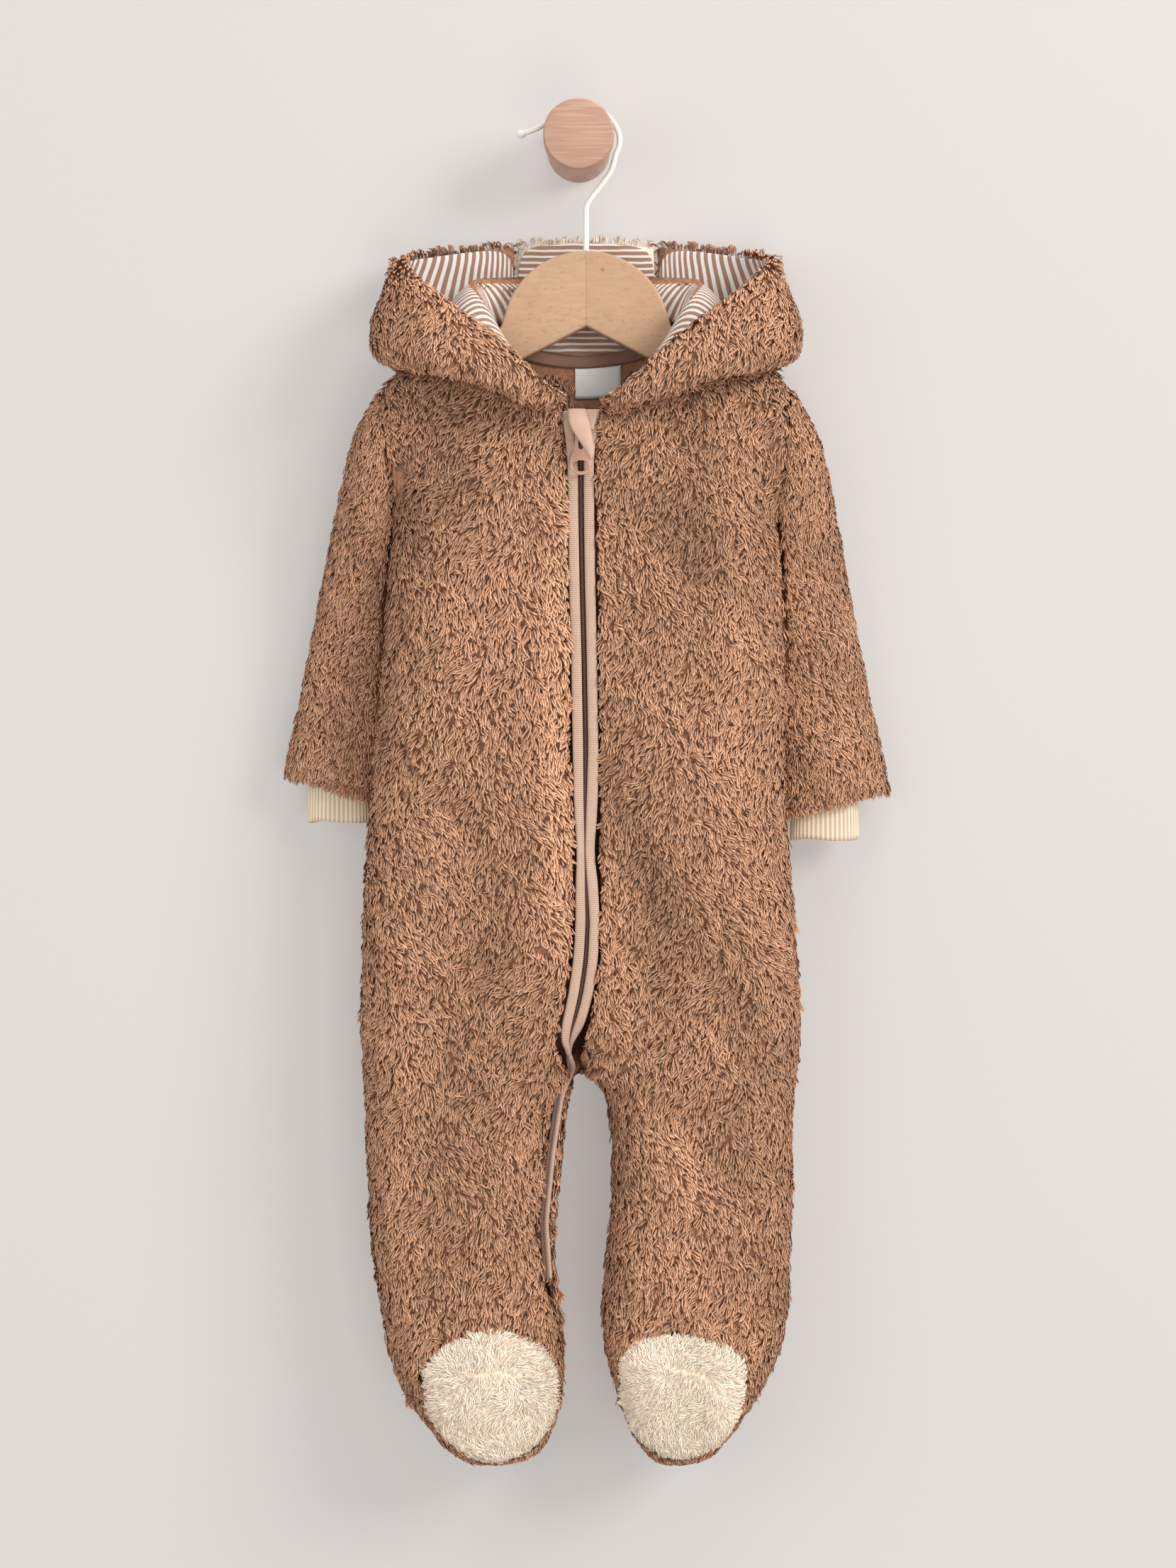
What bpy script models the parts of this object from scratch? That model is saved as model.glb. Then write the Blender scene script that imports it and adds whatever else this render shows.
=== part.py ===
"""A baby's hooded fleece pramsuit on a wooden hanger that hangs from a round wall peg.

Run it with: blender --background --python part.py

Units are metres and +Z is up. The wall is the plane y = 0, and the suit's front faces -Y.
The origin is the centre of the peg's back face, on the wall. "Right" and "left" are the wearer's:
the right half has negative x. The tables are in millimetres, measured from the hanger's hook.
Each cloth piece is a wall between an outer and an inner sheet of points. Its outer side is where
the tips of the pile reach.
"""

import math

import bmesh
import bpy
import numpy as np

MM = 0.001

# ---------------------------------------------------------------- driving sizes
SUIT_X = 4.4 * MM  # the suit hangs this far to the left of the peg's centre, as its wearer sees it
FLEECE = 5.5 * MM  # pile and backing together
LINING = 1.2 * MM
SEAM = 0.35 * MM  # the parting between two sewn pieces

RIGHT, LEFT = -1, 1
FRONT, BACK = -1, 1

PEG_RADIUS = 20.5 * MM
PEG_NECK_RADIUS = 18.5 * MM
PEG_LENGTH = 62 * MM
PEG_HEAD = 18 * MM

HANGER_Y = -38.5 * MM
HANGER_THICK = 9.6 * MM
HANGER_ROUNDING = 1.6 * MM
HOOK_RADIUS = 1.7 * MM
HOOK_HOLE = 2.1 * MM
HOOK_DEPTH = 14 * MM

# ---------------------------------------------------------------- body and legs
# One row for each level: half widths of the two sides, the inner edges of the two legs, the depth
# of the side seams, of the front and of the back, and how far the section has closed into a leg.
# steps is the number of mesh rows down to the next level.
BODY_COLUMNS = (
    "z", "side_right", "inner_right", "side_left", "inner_left", "seam_y", "front_y", "back_y",
    "closure", "steps",
)
BODY_ROWS = (
    (-225, 113.0, 2.8, 113.0, -2.8, -39, -76, -12, 0.00, 2),
    (-262, 117.0, 2.2, 115.0, -2.2, -40, -78, -11, 0.00, 1),
    (-300, 119.5, 1.2, 117.0, -1.2, -41, -79, -9, 0.00, 2),
    (-355, 124.0, 0.2, 117.5, -0.2, -42, -80, -8, 0.00, 2),
    (-415, 129.0, -0.8, 118.5, 0.8, -42, -81, -7, 0.00, 2),
    (-455, 131.0, -1.2, 123.0, 1.2, -42, -81, -7, 0.00, 1),
    (-497, 132.0, -0.2, 125.0, 0.2, -42, -81, -7, 0.06, 2),
    (-524, 132.0, 2.0, 125.5, -2.0, -42, -80, -7, 0.50, 2),
    (-543, 131.0, 3.4, 124.5, -3.4, -42, -79, -8, 1.00, 1),
    (-554, 130.0, 8, 122.0, 10, -42, -78, -9, 1.00, 2),
    (-590, 129.0, 12, 121.0, 14, -42, -77, -10, 1.00, 2),
    (-630, 127.0, 16, 121.0, 13, -42, -76, -11, 1.00, 2),
    (-665, 123.0, 16, 119.5, 9, -42, -76, -12, 1.00, 2),
    (-690, 119.0, 12, 118.0, 8, -43, -78, -12, 1.00, 2),
    (-712, 115.0, 12, 112.0, 12, -44, -81, -12, 1.00, 2),
    (-735, 105.0, 14, 99.0, 18, -46, -83, -13, 1.00, 2),
    (-752, 91.0, 18, 87.0, 25, -48, -81, -17, 1.00, 1),
    (-766, 78.0, 30, 74.0, 35, -50, -74, -27, 1.00, 1),
    (-774, 54.0, 54, 52.0, 52, -51, -51, -51, 1.00, 0),
)
FULLNESS = 0.45  # how much boxier than an ellipse a section is
CROTCH_ROW = 8
PANEL_COLUMNS = 10
NECK_COLUMN = 4  # the column that ends at the side of the neck
UPPER_ROWS = 6  # mesh rows from the shoulder to the underarm
SECTIONS = len(BODY_ROWS) - 1

# The top edge of the front and back: the shoulder seam over the hanger, then the neckline.
SHOULDER = ((120, -143), (108, -130.5), (90, -119.5), (75, -111.5), (60, -103.5))  # x, z
SHOULDER_Y = -36
NECK_WIDTH = 60
NECK_SHIFT = -3.0  # the top of the zip hangs this far to the right of the middle
FRONT_NECK = (-74, -160)  # y, z at the centre
BACK_NECK = (-21, -121)

# Soft folds of the front, as lines from one point to another with a width and a height.
FOLD_COLUMNS = ("side", "x0", "z0", "x1", "z1", "width", "height")
FOLDS = (
    (RIGHT, 44, -215, 28, -420, 15, 3.5),
    (RIGHT, 28, -420, 44, -640, 15, 3.0),
    (RIGHT, 66, -400, 78, -650, 14, -5.0),
    (RIGHT, 92, -190, 98, -300, 10, 2.5),
    (LEFT, 14, -395, 46, -520, 12, -7.0),
    (LEFT, 34, -385, 64, -560, 13, 3.5),
    (LEFT, 52, -520, 78, -640, 13, -5.0),
    (LEFT, 76, -205, 90, -310, 13, 4.0),
    (LEFT, 60, -215, 66, -330, 11, -3.0),
    (LEFT, 105, -560, 103, -690, 9, -4.0),
)

# ---------------------------------------------------------------- zip
ZIP_HALF = 8.4 * MM  # from the middle of the teeth to the fleece
ZIP_END = 12  # the row of BODY_ROWS where the zip ends
LEG_SEAM = 12 * MM
ZIP_TURN = (5.0, 7.4)  # between these levels the zip leaves the centre for the right leg
BINDING_WIDTH = 6.0 * MM
BINDING_THICK = 3.2 * MM
BINDING_SUNK = 1.4 * MM  # its front lies this far under the tips of the pile
CHAIN_THICK = 1.2 * MM
CHAIN_SUNK = 3.4 * MM
ZIP_GAP_TOP = 3.6 * MM  # between the two bindings
ZIP_GAP_END = 1.8 * MM
ZIP_FLARE = 3.4 * MM  # the bindings bend apart by this much at the neck

SLIDER_Z = -174 * MM
SLIDER_CLEAR = 0.4 * MM  # between the slider and the bindings
SLIDER_PLATE = (6.4, 9.6, 1.4)  # wide, tall, thick
BRIDGE = (2.6, 4.2, 1.8)  # its opening's depth and length, and its width
BRIDGE_WALL = 0.8
TAB_AXIS = 1.3  # in front of the slider's plate
TAB_THICK = 1.4
TAB_ROWS = (  # the drop-shaped tab: below its bar, and half its width
    (-0.7, 2.2), (2.8, 2.4), (6.0, 2.8), (10.1, 3.6), (12.5, 4.4), (14.1, 5.0), (15.7, 5.5), (17.5, 5.7),
    (19.0, 5.4), (20.2, 4.6), (21.0, 3.4), (21.6, 1.8),
)
TAB_HOLE = (17.4, 4.2, 2.6)  # below the bar, half its width and half its height
GUARD_THICK = 1.5
GUARD_ROWS = (  # right and left edge, the depth of its outer side and the height
    (-9.4, 7.4, -76.5, -160.4), (-9.4, 7.5, -79.6, -164.2), (-7.6, 7.6, -82.2, -171.0),
    (-4.4, 7.4, -83.4, -178.0), (-0.8, 6.6, -84.0, -185.0), (2.0, 5.4, -84.2, -190.5),
)
TAPE_LEVELS = (-0.985, -0.92, -0.86)
LABEL_LEVELS = (-0.845, -0.76, -0.67)

# ---------------------------------------------------------------- sleeves
# One row for each ring: the outer and inner edge, the depth of its middle and its half depth.
SLEEVE_COLUMNS = ("outer_x", "outer_z", "inner_x", "inner_z", "mid_y", "half_depth", "steps")
SLEEVE_ROWS = (
    (136.5, -168, 120.0, -236, -32, 22, 2),
    (146.0, -205, 119.5, -256, -27, 20, 1),
    (153.5, -242, 119.0, -280, -23, 18, 2),
    (161.0, -279, 118.5, -308, -20, 16.5, 1),
    (168.5, -316, 118.5, -338, -19, 15.5, 2),
    (176.5, -352, 119.0, -369, -18, 14.5, 1),
    (180.5, -370, 119.5, -387, -18, 14.5, 0),
)
SLEEVE_DROP = {RIGHT: 0, LEFT: 9}  # how much lower the hem hangs
SLEEVE_TUCK = {RIGHT: 0, LEFT: 6}  # how much further its inner edge lies behind the body
CUFF_EDGES = {RIGHT: (164.0, 126.2), LEFT: (160.5, 120.5)}  # outer and inner x
CUFF_LEVELS = {RIGHT: (-362, -399), LEFT: (-371, -409)}  # top and bottom
CUFF_SLOPE = {RIGHT: 0.0, LEFT: 0.02}
CUFF_Y = -18
CUFF_HALF_DEPTH = 7.0
CUFF_THICK = 2.2 * MM
CUFF_COLUMNS = 16

# ---------------------------------------------------------------- hood
# The hood is sewn to the neckline, rises to a ridge, falls outwards to a fold that rests on the
# shoulders, and rises again to its open brim. The rows run from the zip round to the middle of
# the back, on one side, and give where the lining meets the fleece.
RIDGE = (
    (11, -73.5, -153), (27, -71, -142), (46, -64, -120), (58, -57, -98), (64, -48, -87),
    (66, -36, -82), (62, -26.5, -79), (36, -21, -77.5), (0, -20, -77),
)
FALL = (
    (13, -79, -154), (30, -79, -147), (55, -80, -131), (72, -72, -115), (82, -54, -106),
    (85, -37, -105), (79, -20, -106), (39, -15, -116), (0, -14.5, -119),
)
BOTTOM = (
    (15, -83, -157), (32, -86, -157), (61, -89, -146), (88, -81, -139), (107, -61, -134),
    (112, -40, -126), (101, -14, -136), (41, -9.5, -151), (0, -9.5, -152),
)
BULGE = (
    (15.5, -86, -155), (32, -90, -151), (61, -94, -135), (93, -85, -124), (116, -65, -117),
    (123, -42, -112), (109, -11.5, -109), (42, -6.8, -107), (0, -6.8, -106),
)
BRIM = (
    (14.5, -87, -151), (27, -88, -143), (49, -87, -122), (76, -78, -101), (98, -62, -82),
    (106, -44, -74), (97, -17, -65), (41, -7.5, -57), (0, -7.5, -55),
)
NECK_SIDE_STATION = 5
GUSSET_STATION = 7
PRESSED = 2.2 * MM
HOOD_STEPS = (2, 2, 2, 2, 2)  # mesh rows from the neck to the ridge, and so on to the brim
FRONT_HOOD_COLUMNS = 12
SIDE_HOOD_COLUMNS = 4
GUSSET_COLUMNS = 2

# ---------------------------------------------------------------- feet
# The cream toe cap is an oval on the front of the foot: across from the outer seam (0) to the
# inner seam (1), and down in rows of BODY_ROWS.
CAP_ACROSS = {RIGHT: (0.585, 0.335), LEFT: (0.565, 0.325)}  # middle and half width
CAP_LEVEL = 14.75
CAP_UP, CAP_DOWN = 1.75, 2.15
CAP_PUFF = 3.0 * MM
CAP_RINGS = (0.985, 0.74, 0.4, 0.0)
CAP_COLUMNS = 14
SIDE_COLUMNS, INNER_COLUMNS = 2, 1  # panel columns beside the cap
BLEND_LEVEL = 12
BLEND_ROWS = 4
SOLE_ROWS = (0, 0.35, 0.7, 1)
SOLE_LAST = 17.0

# ---------------------------------------------------------------- colours (linear) and finishes
FINISHES = {
    "brown_fleece": ((0.36, 0.19, 0.105), 0.95, 0.0),
    "cream_fleece": ((0.78, 0.66, 0.49), 0.95, 0.0),
    "striped_jersey": ((0.60, 0.50, 0.43), 0.9, 0.0),
    "cream_rib": ((0.72, 0.63, 0.48), 0.9, 0.0),
    "tan_binding": ((0.46, 0.31, 0.23), 0.9, 0.0),
    "brown_tape": ((0.27, 0.15, 0.10), 0.9, 0.0),
    "white_label": ((0.72, 0.75, 0.72), 0.6, 0.0),
    "zip_teeth": ((0.10, 0.05, 0.035), 0.5, 0.0),
    "zip_metal": ((0.42, 0.25, 0.18), 0.35, 0.3),
    "beech": ((0.62, 0.40, 0.23), 0.5, 0.0),
    "peg_wood": ((0.55, 0.31, 0.21), 0.55, 0.0),
    "white_enamel": ((0.80, 0.79, 0.74), 0.3, 0.0),
}


# ================================================================ scene and mesh helpers
def clear_scene():
    for obj in list(bpy.data.objects):
        bpy.data.objects.remove(obj, do_unlink=True)


def new_collection(name, hidden=False):
    collection = bpy.data.collections.new(name)
    collection.hide_render = hidden
    bpy.context.scene.collection.children.link(collection)
    return collection


def material(name):
    found = bpy.data.materials.get(name)
    if found:
        return found
    colour, roughness, metallic = FINISHES[name]
    made = bpy.data.materials.new(name)
    made.use_nodes = True
    shader = made.node_tree.nodes["Principled BSDF"]
    shader.inputs["Base Color"].default_value = (*colour, 1)
    shader.inputs["Roughness"].default_value = roughness
    shader.inputs["Metallic"].default_value = metallic
    return made


def add_object(name, data, finish, collection="pramsuit"):
    obj = bpy.data.objects.new(name, data)
    obj.data.materials.append(material(finish))
    bpy.data.collections[collection].objects.link(obj)
    return obj


def add_bmesh(name, bm, finish, smooth=True):
    bmesh.ops.recalc_face_normals(bm, faces=bm.faces)
    mesh = bpy.data.meshes.new(name)
    bm.to_mesh(mesh)
    bm.free()
    if smooth:
        mesh.shade_smooth()
        mesh.set_sharp_from_angle(angle=math.radians(50))
    return add_object(name, mesh, finish)


def add_wall(name, finish, *sheets):
    """A closed wall. Each sheet is (outer, inner), two grids of points; sheets that share points
    become one, and a grid whose ends meet becomes a tube."""
    bm = bmesh.new()
    order = bm.verts.layers.int.new("order")
    inner_points = []
    for outer, inner in sheets:
        rows, columns = outer.shape[:2]
        made = bmesh.ops.create_grid(bm, x_segments=columns - 1, y_segments=rows - 1, size=1)
        for vert, point, back in zip(made["verts"], outer.reshape(-1, 3), inner.reshape(-1, 3)):
            vert.co = (point[0] + SUIT_X, point[1], point[2])
            vert[order] = len(inner_points)
            inner_points.append((back[0] + SUIT_X, back[1], back[2]))
    bmesh.ops.remove_doubles(bm, verts=bm.verts, dist=0.02 * MM)
    made = bmesh.ops.extrude_face_region(bm, geom=bm.faces[:], use_keep_orig=True)
    for vert in made["geom"]:
        if isinstance(vert, bmesh.types.BMVert):
            vert.co = inner_points[vert[order]]
    return add_bmesh(name, bm, finish)


def add_mesh_from(obj, name, finish):
    """A curve object made a mesh with its caps welded, so that it can be cut or bevelled."""
    graph = bpy.context.evaluated_depsgraph_get()
    mesh = bpy.data.meshes.new_from_object(obj.evaluated_get(graph))
    bm = bmesh.new()
    bm.from_mesh(mesh)
    bmesh.ops.remove_doubles(bm, verts=bm.verts, dist=0.01 * MM)
    bmesh.ops.recalc_face_normals(bm, faces=bm.faces)
    bm.to_mesh(mesh)
    bm.free()
    mesh.materials.clear()
    made = add_object(name, mesh, finish)
    made.matrix_world = obj.matrix_world.copy()
    bpy.data.objects.remove(obj, do_unlink=True)
    return made


def add_flat_outline(name, outlines, thickness, rounding, finish, place):
    """A flat shape that faces the front, from the (x, z) points of its outline and of its holes.
    Its own origin is at place."""
    curve = bpy.data.curves.new(name + "_outline", "CURVE")
    curve.dimensions = "2D"
    curve.fill_mode = "BOTH"
    curve.extrude = thickness / 2 - rounding
    curve.bevel_depth = rounding
    curve.bevel_resolution = 1
    curve.offset = -rounding
    for outline in outlines:
        spline = curve.splines.new("POLY")
        spline.points.add(len(outline) - 1)
        spline.use_cyclic_u = True
        for point, (x, z) in zip(spline.points, outline):
            point.co = (x * MM, z * MM, 0, 1)
    guide = bpy.data.objects.new(name + "_guide", curve)
    bpy.context.scene.collection.objects.link(guide)
    guide.rotation_euler = (math.radians(90), 0, 0)
    guide.location = place
    bpy.context.view_layer.update()
    return add_mesh_from(guide, name, finish)


# ================================================================ curves through tables
def spline_point(knots, place):
    """The point at place, counted in knots, on a smooth curve through the rows of knots."""
    spans = len(knots) - 1
    place = min(max(place, 0.0), float(spans))
    i = min(int(place), spans - 1)
    f = place - i
    a, b = knots[i], knots[i + 1]
    before = knots[i - 1] if i > 0 else 2 * a - b
    after = knots[i + 2] if i + 2 <= spans else 2 * b - a
    return 0.5 * (
        2 * a
        + (b - before) * f
        + (2 * before - 5 * a + 4 * b - after) * f**2
        + (3 * a - before - 3 * b + after) * f**3
    )


def unit(vector):
    return vector / max(float(np.linalg.norm(vector)), 1e-12)


def bezier(a, b, c, d, t):
    return (1 - t) ** 3 * a + 3 * (1 - t) ** 2 * t * b + 3 * (1 - t) * t**2 * c + t**3 * d


def smooth_step(low, high, value):
    t = min(max((value - low) / (high - low), 0.0), 1.0)
    return t * t * (3 - 2 * t)


def rows_between(steps):
    """Places 0, 1/n, 2/n ... over each interval of a table, n being its steps."""
    places = [0.0]
    for i, count in enumerate(steps):
        places += [i + (k + 1) / count for k in range(count)]
    return places


BODY = np.array(BODY_ROWS, float)
STATION_LINES = [np.array(line, float) for line in (RIDGE, FALL, BOTTOM, BULGE, BRIM)]


# ================================================================ body surface
def fold_height(side, point):
    """How far the soft folds move a point of the front outwards."""
    total = 0.0
    for fold in FOLDS:
        row = dict(zip(FOLD_COLUMNS, fold))
        if row["side"] != side:
            continue
        start = np.array([row["x0"], row["z0"]], float)
        run = np.array([row["x1"], row["z1"]], float) - start
        offset = np.array([abs(point[0]), point[2]]) / MM - start
        along = float(offset @ run / (run @ run))
        nearest = start + run * min(max(along, 0.0), 1.0)
        away = float(np.linalg.norm(np.array([abs(point[0]), point[2]]) / MM - nearest))
        total += row["height"] * math.exp(-((away / row["width"]) ** 2))
    return total * MM


def section_point(side, face, across, level):
    """A point below the underarm: across runs from the side seam (0) to the centre or inner
    seam (1), and level counts rows of BODY_ROWS."""
    row = dict(zip(BODY_COLUMNS, spline_point(BODY, level)))
    word = "right" if side == RIGHT else "left"
    closure = min(max(row["closure"], 0.0), 1.0)
    most = math.pi / 2 * (1 + closure)
    angle = across * most
    outer, inner = row["side_" + word], row["inner_" + word]
    if level <= CROTCH_ROW:  # above the crotch the two sides share the centre line
        inner = spline_point(BODY[: CROTCH_ROW + 1, BODY_COLUMNS.index("inner_" + word)], level)
    share = (1 - math.cos(angle)) / (1 - math.cos(most))
    depth = math.sin(angle) * (1 + FULLNESS * math.cos(angle) ** 2)
    front_side = (face == FRONT) == (depth >= 0)  # past the inner line it is the other face's curve
    reach = (row["front_y" if front_side else "back_y"] - row["seam_y"]) * (1 if depth >= 0 else -1)
    depth = abs(depth) if depth < 0 else depth
    x = side * (outer + (inner - outer) * share)
    point = np.array([x, row["seam_y"] + abs(reach) * abs(depth) * (-1 if front_side else 1), row["z"]]) * MM
    if face == FRONT:
        point[1] -= fold_height(side, point) * abs(math.sin(angle))
    return point


def top_point(side, face, across):
    """A point of the shoulder seam or the neckline."""
    neck = NECK_COLUMN / PANEL_COLUMNS
    if across <= neck:
        place = (len(SHOULDER) - 1) * max(across, 0.0) / neck
        x, z = spline_point(np.array(SHOULDER, float), place)
        return np.array([side * x, SHOULDER_Y, z]) * MM
    turn = math.pi / 2 * (across - neck) / (1 - neck)
    y, z = FRONT_NECK if face == FRONT else BACK_NECK
    power = 1.5 if face == FRONT else 2.0
    side_z = SHOULDER[-1][1]
    drop = max(math.sin(turn), 0.0) ** power
    x = side * NECK_WIDTH * math.cos(turn) + NECK_SHIFT * math.sin(turn)
    y = SHOULDER_Y + (y - SHOULDER_Y) * max(math.sin(turn), 0.0) ** (1.0 if face == FRONT else 0.6)
    return np.array([x, y, side_z + (z - side_z) * drop]) * MM


def leaving(side, face, across):
    """The direction in which the cloth leaves the shoulder seam and the neckline."""
    neck = NECK_COLUMN / PANEL_COLUMNS
    depth = face * (1.0 if face == FRONT else 0.8)
    if across <= neck:
        turned = smooth_step(0.4, 1.0, across / neck)
        return np.array([side * 14 * turned, depth * (27 - 7 * turned), -3 - 5 * turned]) * MM
    turn = (across - neck) / (1 - neck)
    outward = side * 14 * math.cos(math.pi / 2 * min(turn, 1.0))
    falling = smooth_step(0.0, 0.35 if face == FRONT else 0.8, turn)
    return np.array([outward, depth * (20 - 16 * falling), -8 - 17 * falling]) * MM


def body_point(side, face, across, level):
    """A point of the outer surface. Levels from -1 to 0 run from the top edge to the underarm."""
    if level >= 0:
        return section_point(side, face, across, level)
    t = level + 1
    top = top_point(side, face, across)
    chest = section_point(side, face, across, 0)
    rise = unit(chest - section_point(side, face, across, 0.1)) * 30 * MM
    at_side = 1 - smooth_step(0.0, 0.16, across)
    arrive = rise * (1 - at_side) + np.array([0, face * 22, 6]) * MM * at_side
    point = bezier(top, top + leaving(side, face, across), chest + arrive, chest, t)
    if face == FRONT:
        point[1] -= fold_height(side, point) * smooth_step(0.0, 0.7, t) * smooth_step(0, 0.3, across)
    return point


def body_normal(side, face, across, level):
    """The outward normal, from differences along and across the cloth. The shoulder seam has one
    that the front and the back share."""
    neck = NECK_COLUMN / PANEL_COLUMNS
    if level == -1 and across <= neck:
        run = top_point(side, face, min(across + 0.02, neck)) - top_point(side, face, max(across - 0.02, 0))
        normal = unit(np.array([-run[2], 0, run[0]]) * -side)
        if across < neck - 0.001:
            return normal
        return unit(normal + np.array([side, 0, 0]))
    du, dv = 0.01, 0.04
    low, high = max(level - dv, -1), min(level + dv, SECTIONS - 0.001)
    if level < 0 < high:
        high = 0.0
    if low < 0 <= level:
        low = level
    low_u, high_u = across - du, across + du
    if level < 0:
        low_u, high_u = max(low_u, 0), min(high_u, 1)
    across_run = body_point(side, face, high_u, level) - body_point(side, face, low_u, level)
    down_run = body_point(side, face, across, high) - body_point(side, face, across, low)
    normal = unit(np.cross(across_run, down_run) * -side * face)
    if level > 0:
        return normal
    if level == -1:  # the hood stands up from the neckline
        turn = math.pi / 2 * (across - neck) / (1 - neck)
        normal += np.array([side * math.cos(turn), face * math.sin(turn), 0])
        return unit(normal)
    at_armhole = 1 - smooth_step(0.0, 0.12, across)
    under = smooth_step(-0.55, 0.0, level) * at_armhole
    beside = 4 * -level * (level + 1) * at_armhole
    return unit(normal * (1 - under) + np.array([0, face * 0.8 * beside, -under]))


def middle_normal(side, face, level):
    """The normal where the two halves meet in the middle, which both share."""
    if level == CROTCH_ROW:
        return np.array([0, 0, -1.0])
    normal = body_normal(side, face, 1.0, level)
    return unit(np.array([0, normal[1], normal[2]]))


def wall_points(side, face, across, level, thickness=FLEECE, lift=0.0):
    """The outer and inner point of the wall."""
    point = body_point(side, face, across, level)
    normal = body_normal(side, face, across, level)
    return point + normal * lift, point - normal * thickness


def edge_across(side, face, level, distance):
    """How far across the cloth is that distance from its centre line or inner seam."""
    near = body_point(side, face, 0.96, level) - body_point(side, face, 0.90, level)
    speed = float(np.linalg.norm(near)) / 0.06
    return 1 - distance / speed


def leg_seam(level):
    """How far in front of its inner line the right leg's seam runs."""
    return LEG_SEAM * smooth_step(CROTCH_ROW, CROTCH_ROW + 1.5, level) * (1 - smooth_step(ZIP_END - 1, ZIP_END + 1, level))


def zip_shift(level):
    """How far the middle of the zip lies to the right of the centre line."""
    return (ZIP_HALF + SEAM / 2) * smooth_step(*ZIP_TURN, level) + leg_seam(level)


def zip_flare(level):
    """How much further apart the bindings lie near the neck."""
    return ZIP_FLARE * (1 - smooth_step(-1, -0.5, level))


def beside_centre(offset, level):
    """A point of the front, so far to the left of the centre line or right inner seam."""
    side = LEFT if offset > 0 else RIGHT
    return body_point(side, FRONT, edge_across(side, FRONT, level, abs(offset)), level)


def zip_point(across, level, sunk):
    """A point of the zip: across from its middle towards the left, and so far under the pile."""
    offset = across - zip_shift(level)
    low, high = offset - 1.5 * MM, offset + 1.5 * MM
    if level >= CROTCH_ROW:
        high = min(high, 0.0)
    above, below = max(level - 0.04, -1), level + 0.04
    if level < 0:
        below = min(below, 0)
    elif level - 0.04 < 0:
        above = level
    run = beside_centre(high, level) - beside_centre(low, level)
    down = beside_centre(offset, below) - beside_centre(offset, above)
    return beside_centre(offset, level) - unit(np.cross(down, run)) * sunk


# ================================================================ body panels
def body_levels():
    upper = [-1 + k / UPPER_ROWS for k in range(UPPER_ROWS)]
    steps = BODY[:BLEND_LEVEL, BODY_COLUMNS.index("steps")].astype(int)
    return upper + rows_between(steps)


def cap_edge(side, angle, size=1.0):
    """A point of the toe cap's outline as (across, level); 0 is its inner end and 90 its top."""
    middle, half = CAP_ACROSS[side]
    height = CAP_UP if math.sin(angle) > 0 else CAP_DOWN
    return middle + half * size * math.cos(angle), CAP_LEVEL - height * size * math.sin(angle)


def foot_edge(side, below):
    """Where the panel (or, below, the sole) ends round the front of the foot."""
    middle, half = CAP_ACROSS[side]
    arc = PANEL_COLUMNS - SIDE_COLUMNS - INNER_COLUMNS
    edge = [((middle - half) * k / SIDE_COLUMNS, CAP_LEVEL) for k in range(SIDE_COLUMNS)]
    for k in range(arc + 1):
        angle = math.pi * (1 - k / arc) * (-1 if below else 1)
        edge.append(cap_edge(side, angle))
    inner = middle + half
    edge += [(inner + (1 - inner) * (k + 1) / INNER_COLUMNS, CAP_LEVEL) for k in range(INNER_COLUMNS)]
    return edge


def column_across(column, last):
    """Where a column runs; those between the side of the neck and the middle make room for the zip."""
    beyond = max(column - NECK_COLUMN, 0) / (PANEL_COLUMNS - NECK_COLUMN)
    return column / PANEL_COLUMNS - (1 - last) * beyond


def panel_edge(side, face, level):
    """How far across a half panel reaches at that level."""
    if face == BACK and side == RIGHT and level > CROTCH_ROW:
        return 2 - edge_across(RIGHT, FRONT, level, leg_seam(level))
    if face == BACK or (side == LEFT and level >= CROTCH_ROW):
        return 1.0
    room = ZIP_HALF + SEAM / 2 + zip_flare(level)
    if side == LEFT:
        return edge_across(side, face, level, room - zip_shift(level))
    closed = smooth_step(ZIP_END, ZIP_END + 0.6, level)
    room = (room + zip_shift(level)) * (1 - closed) + (leg_seam(level) + SEAM / 2) * closed
    return edge_across(side, face, level, room)


def panel_places(side, face):
    """The (across, level) places of a half panel, in rows down from the shoulder to the foot."""
    rows = []
    for level in body_levels():
        last = panel_edge(side, face, level)
        rows.append([(column_across(j, last), level) for j in range(PANEL_COLUMNS + 1)])
    start = rows[-1]
    if face == FRONT:
        end = foot_edge(side, below=False)
    else:
        end = [(j / PANEL_COLUMNS, CAP_LEVEL) for j in range(PANEL_COLUMNS + 1)]
    for k in range(1, BLEND_ROWS + 1):
        t = k / BLEND_ROWS
        soon = 1 - (1 - t) ** 2
        row = []
        for (u0, v0), (u1, v1) in zip(start, end):
            level = v0 + (v1 - v0) * t
            row.append((min(u0 + (u1 - u0) * soon, panel_edge(side, face, level)), level))
        rows.append(row)
    return rows


def panel_sheet(side, face):
    """The outer and inner points of a half panel."""
    outer, inner = [], []
    shift = np.array([0, face * SEAM / 2, 0])
    for row in panel_places(side, face):
        pairs = [wall_points(side, face, across, level) for across, level in row]
        level = row[-1][1]
        meets = face == BACK and level <= CROTCH_ROW or side == LEFT and level == CROTCH_ROW
        if meets:
            middle = body_point(side, face, 1.0, level)
            pairs[-1] = (middle, middle - middle_normal(side, face, level) * FLEECE)
        outer.append([a + shift for a, _ in pairs])
        inner.append([b + shift for _, b in pairs])
    return np.array(outer), np.array(inner)


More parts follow.
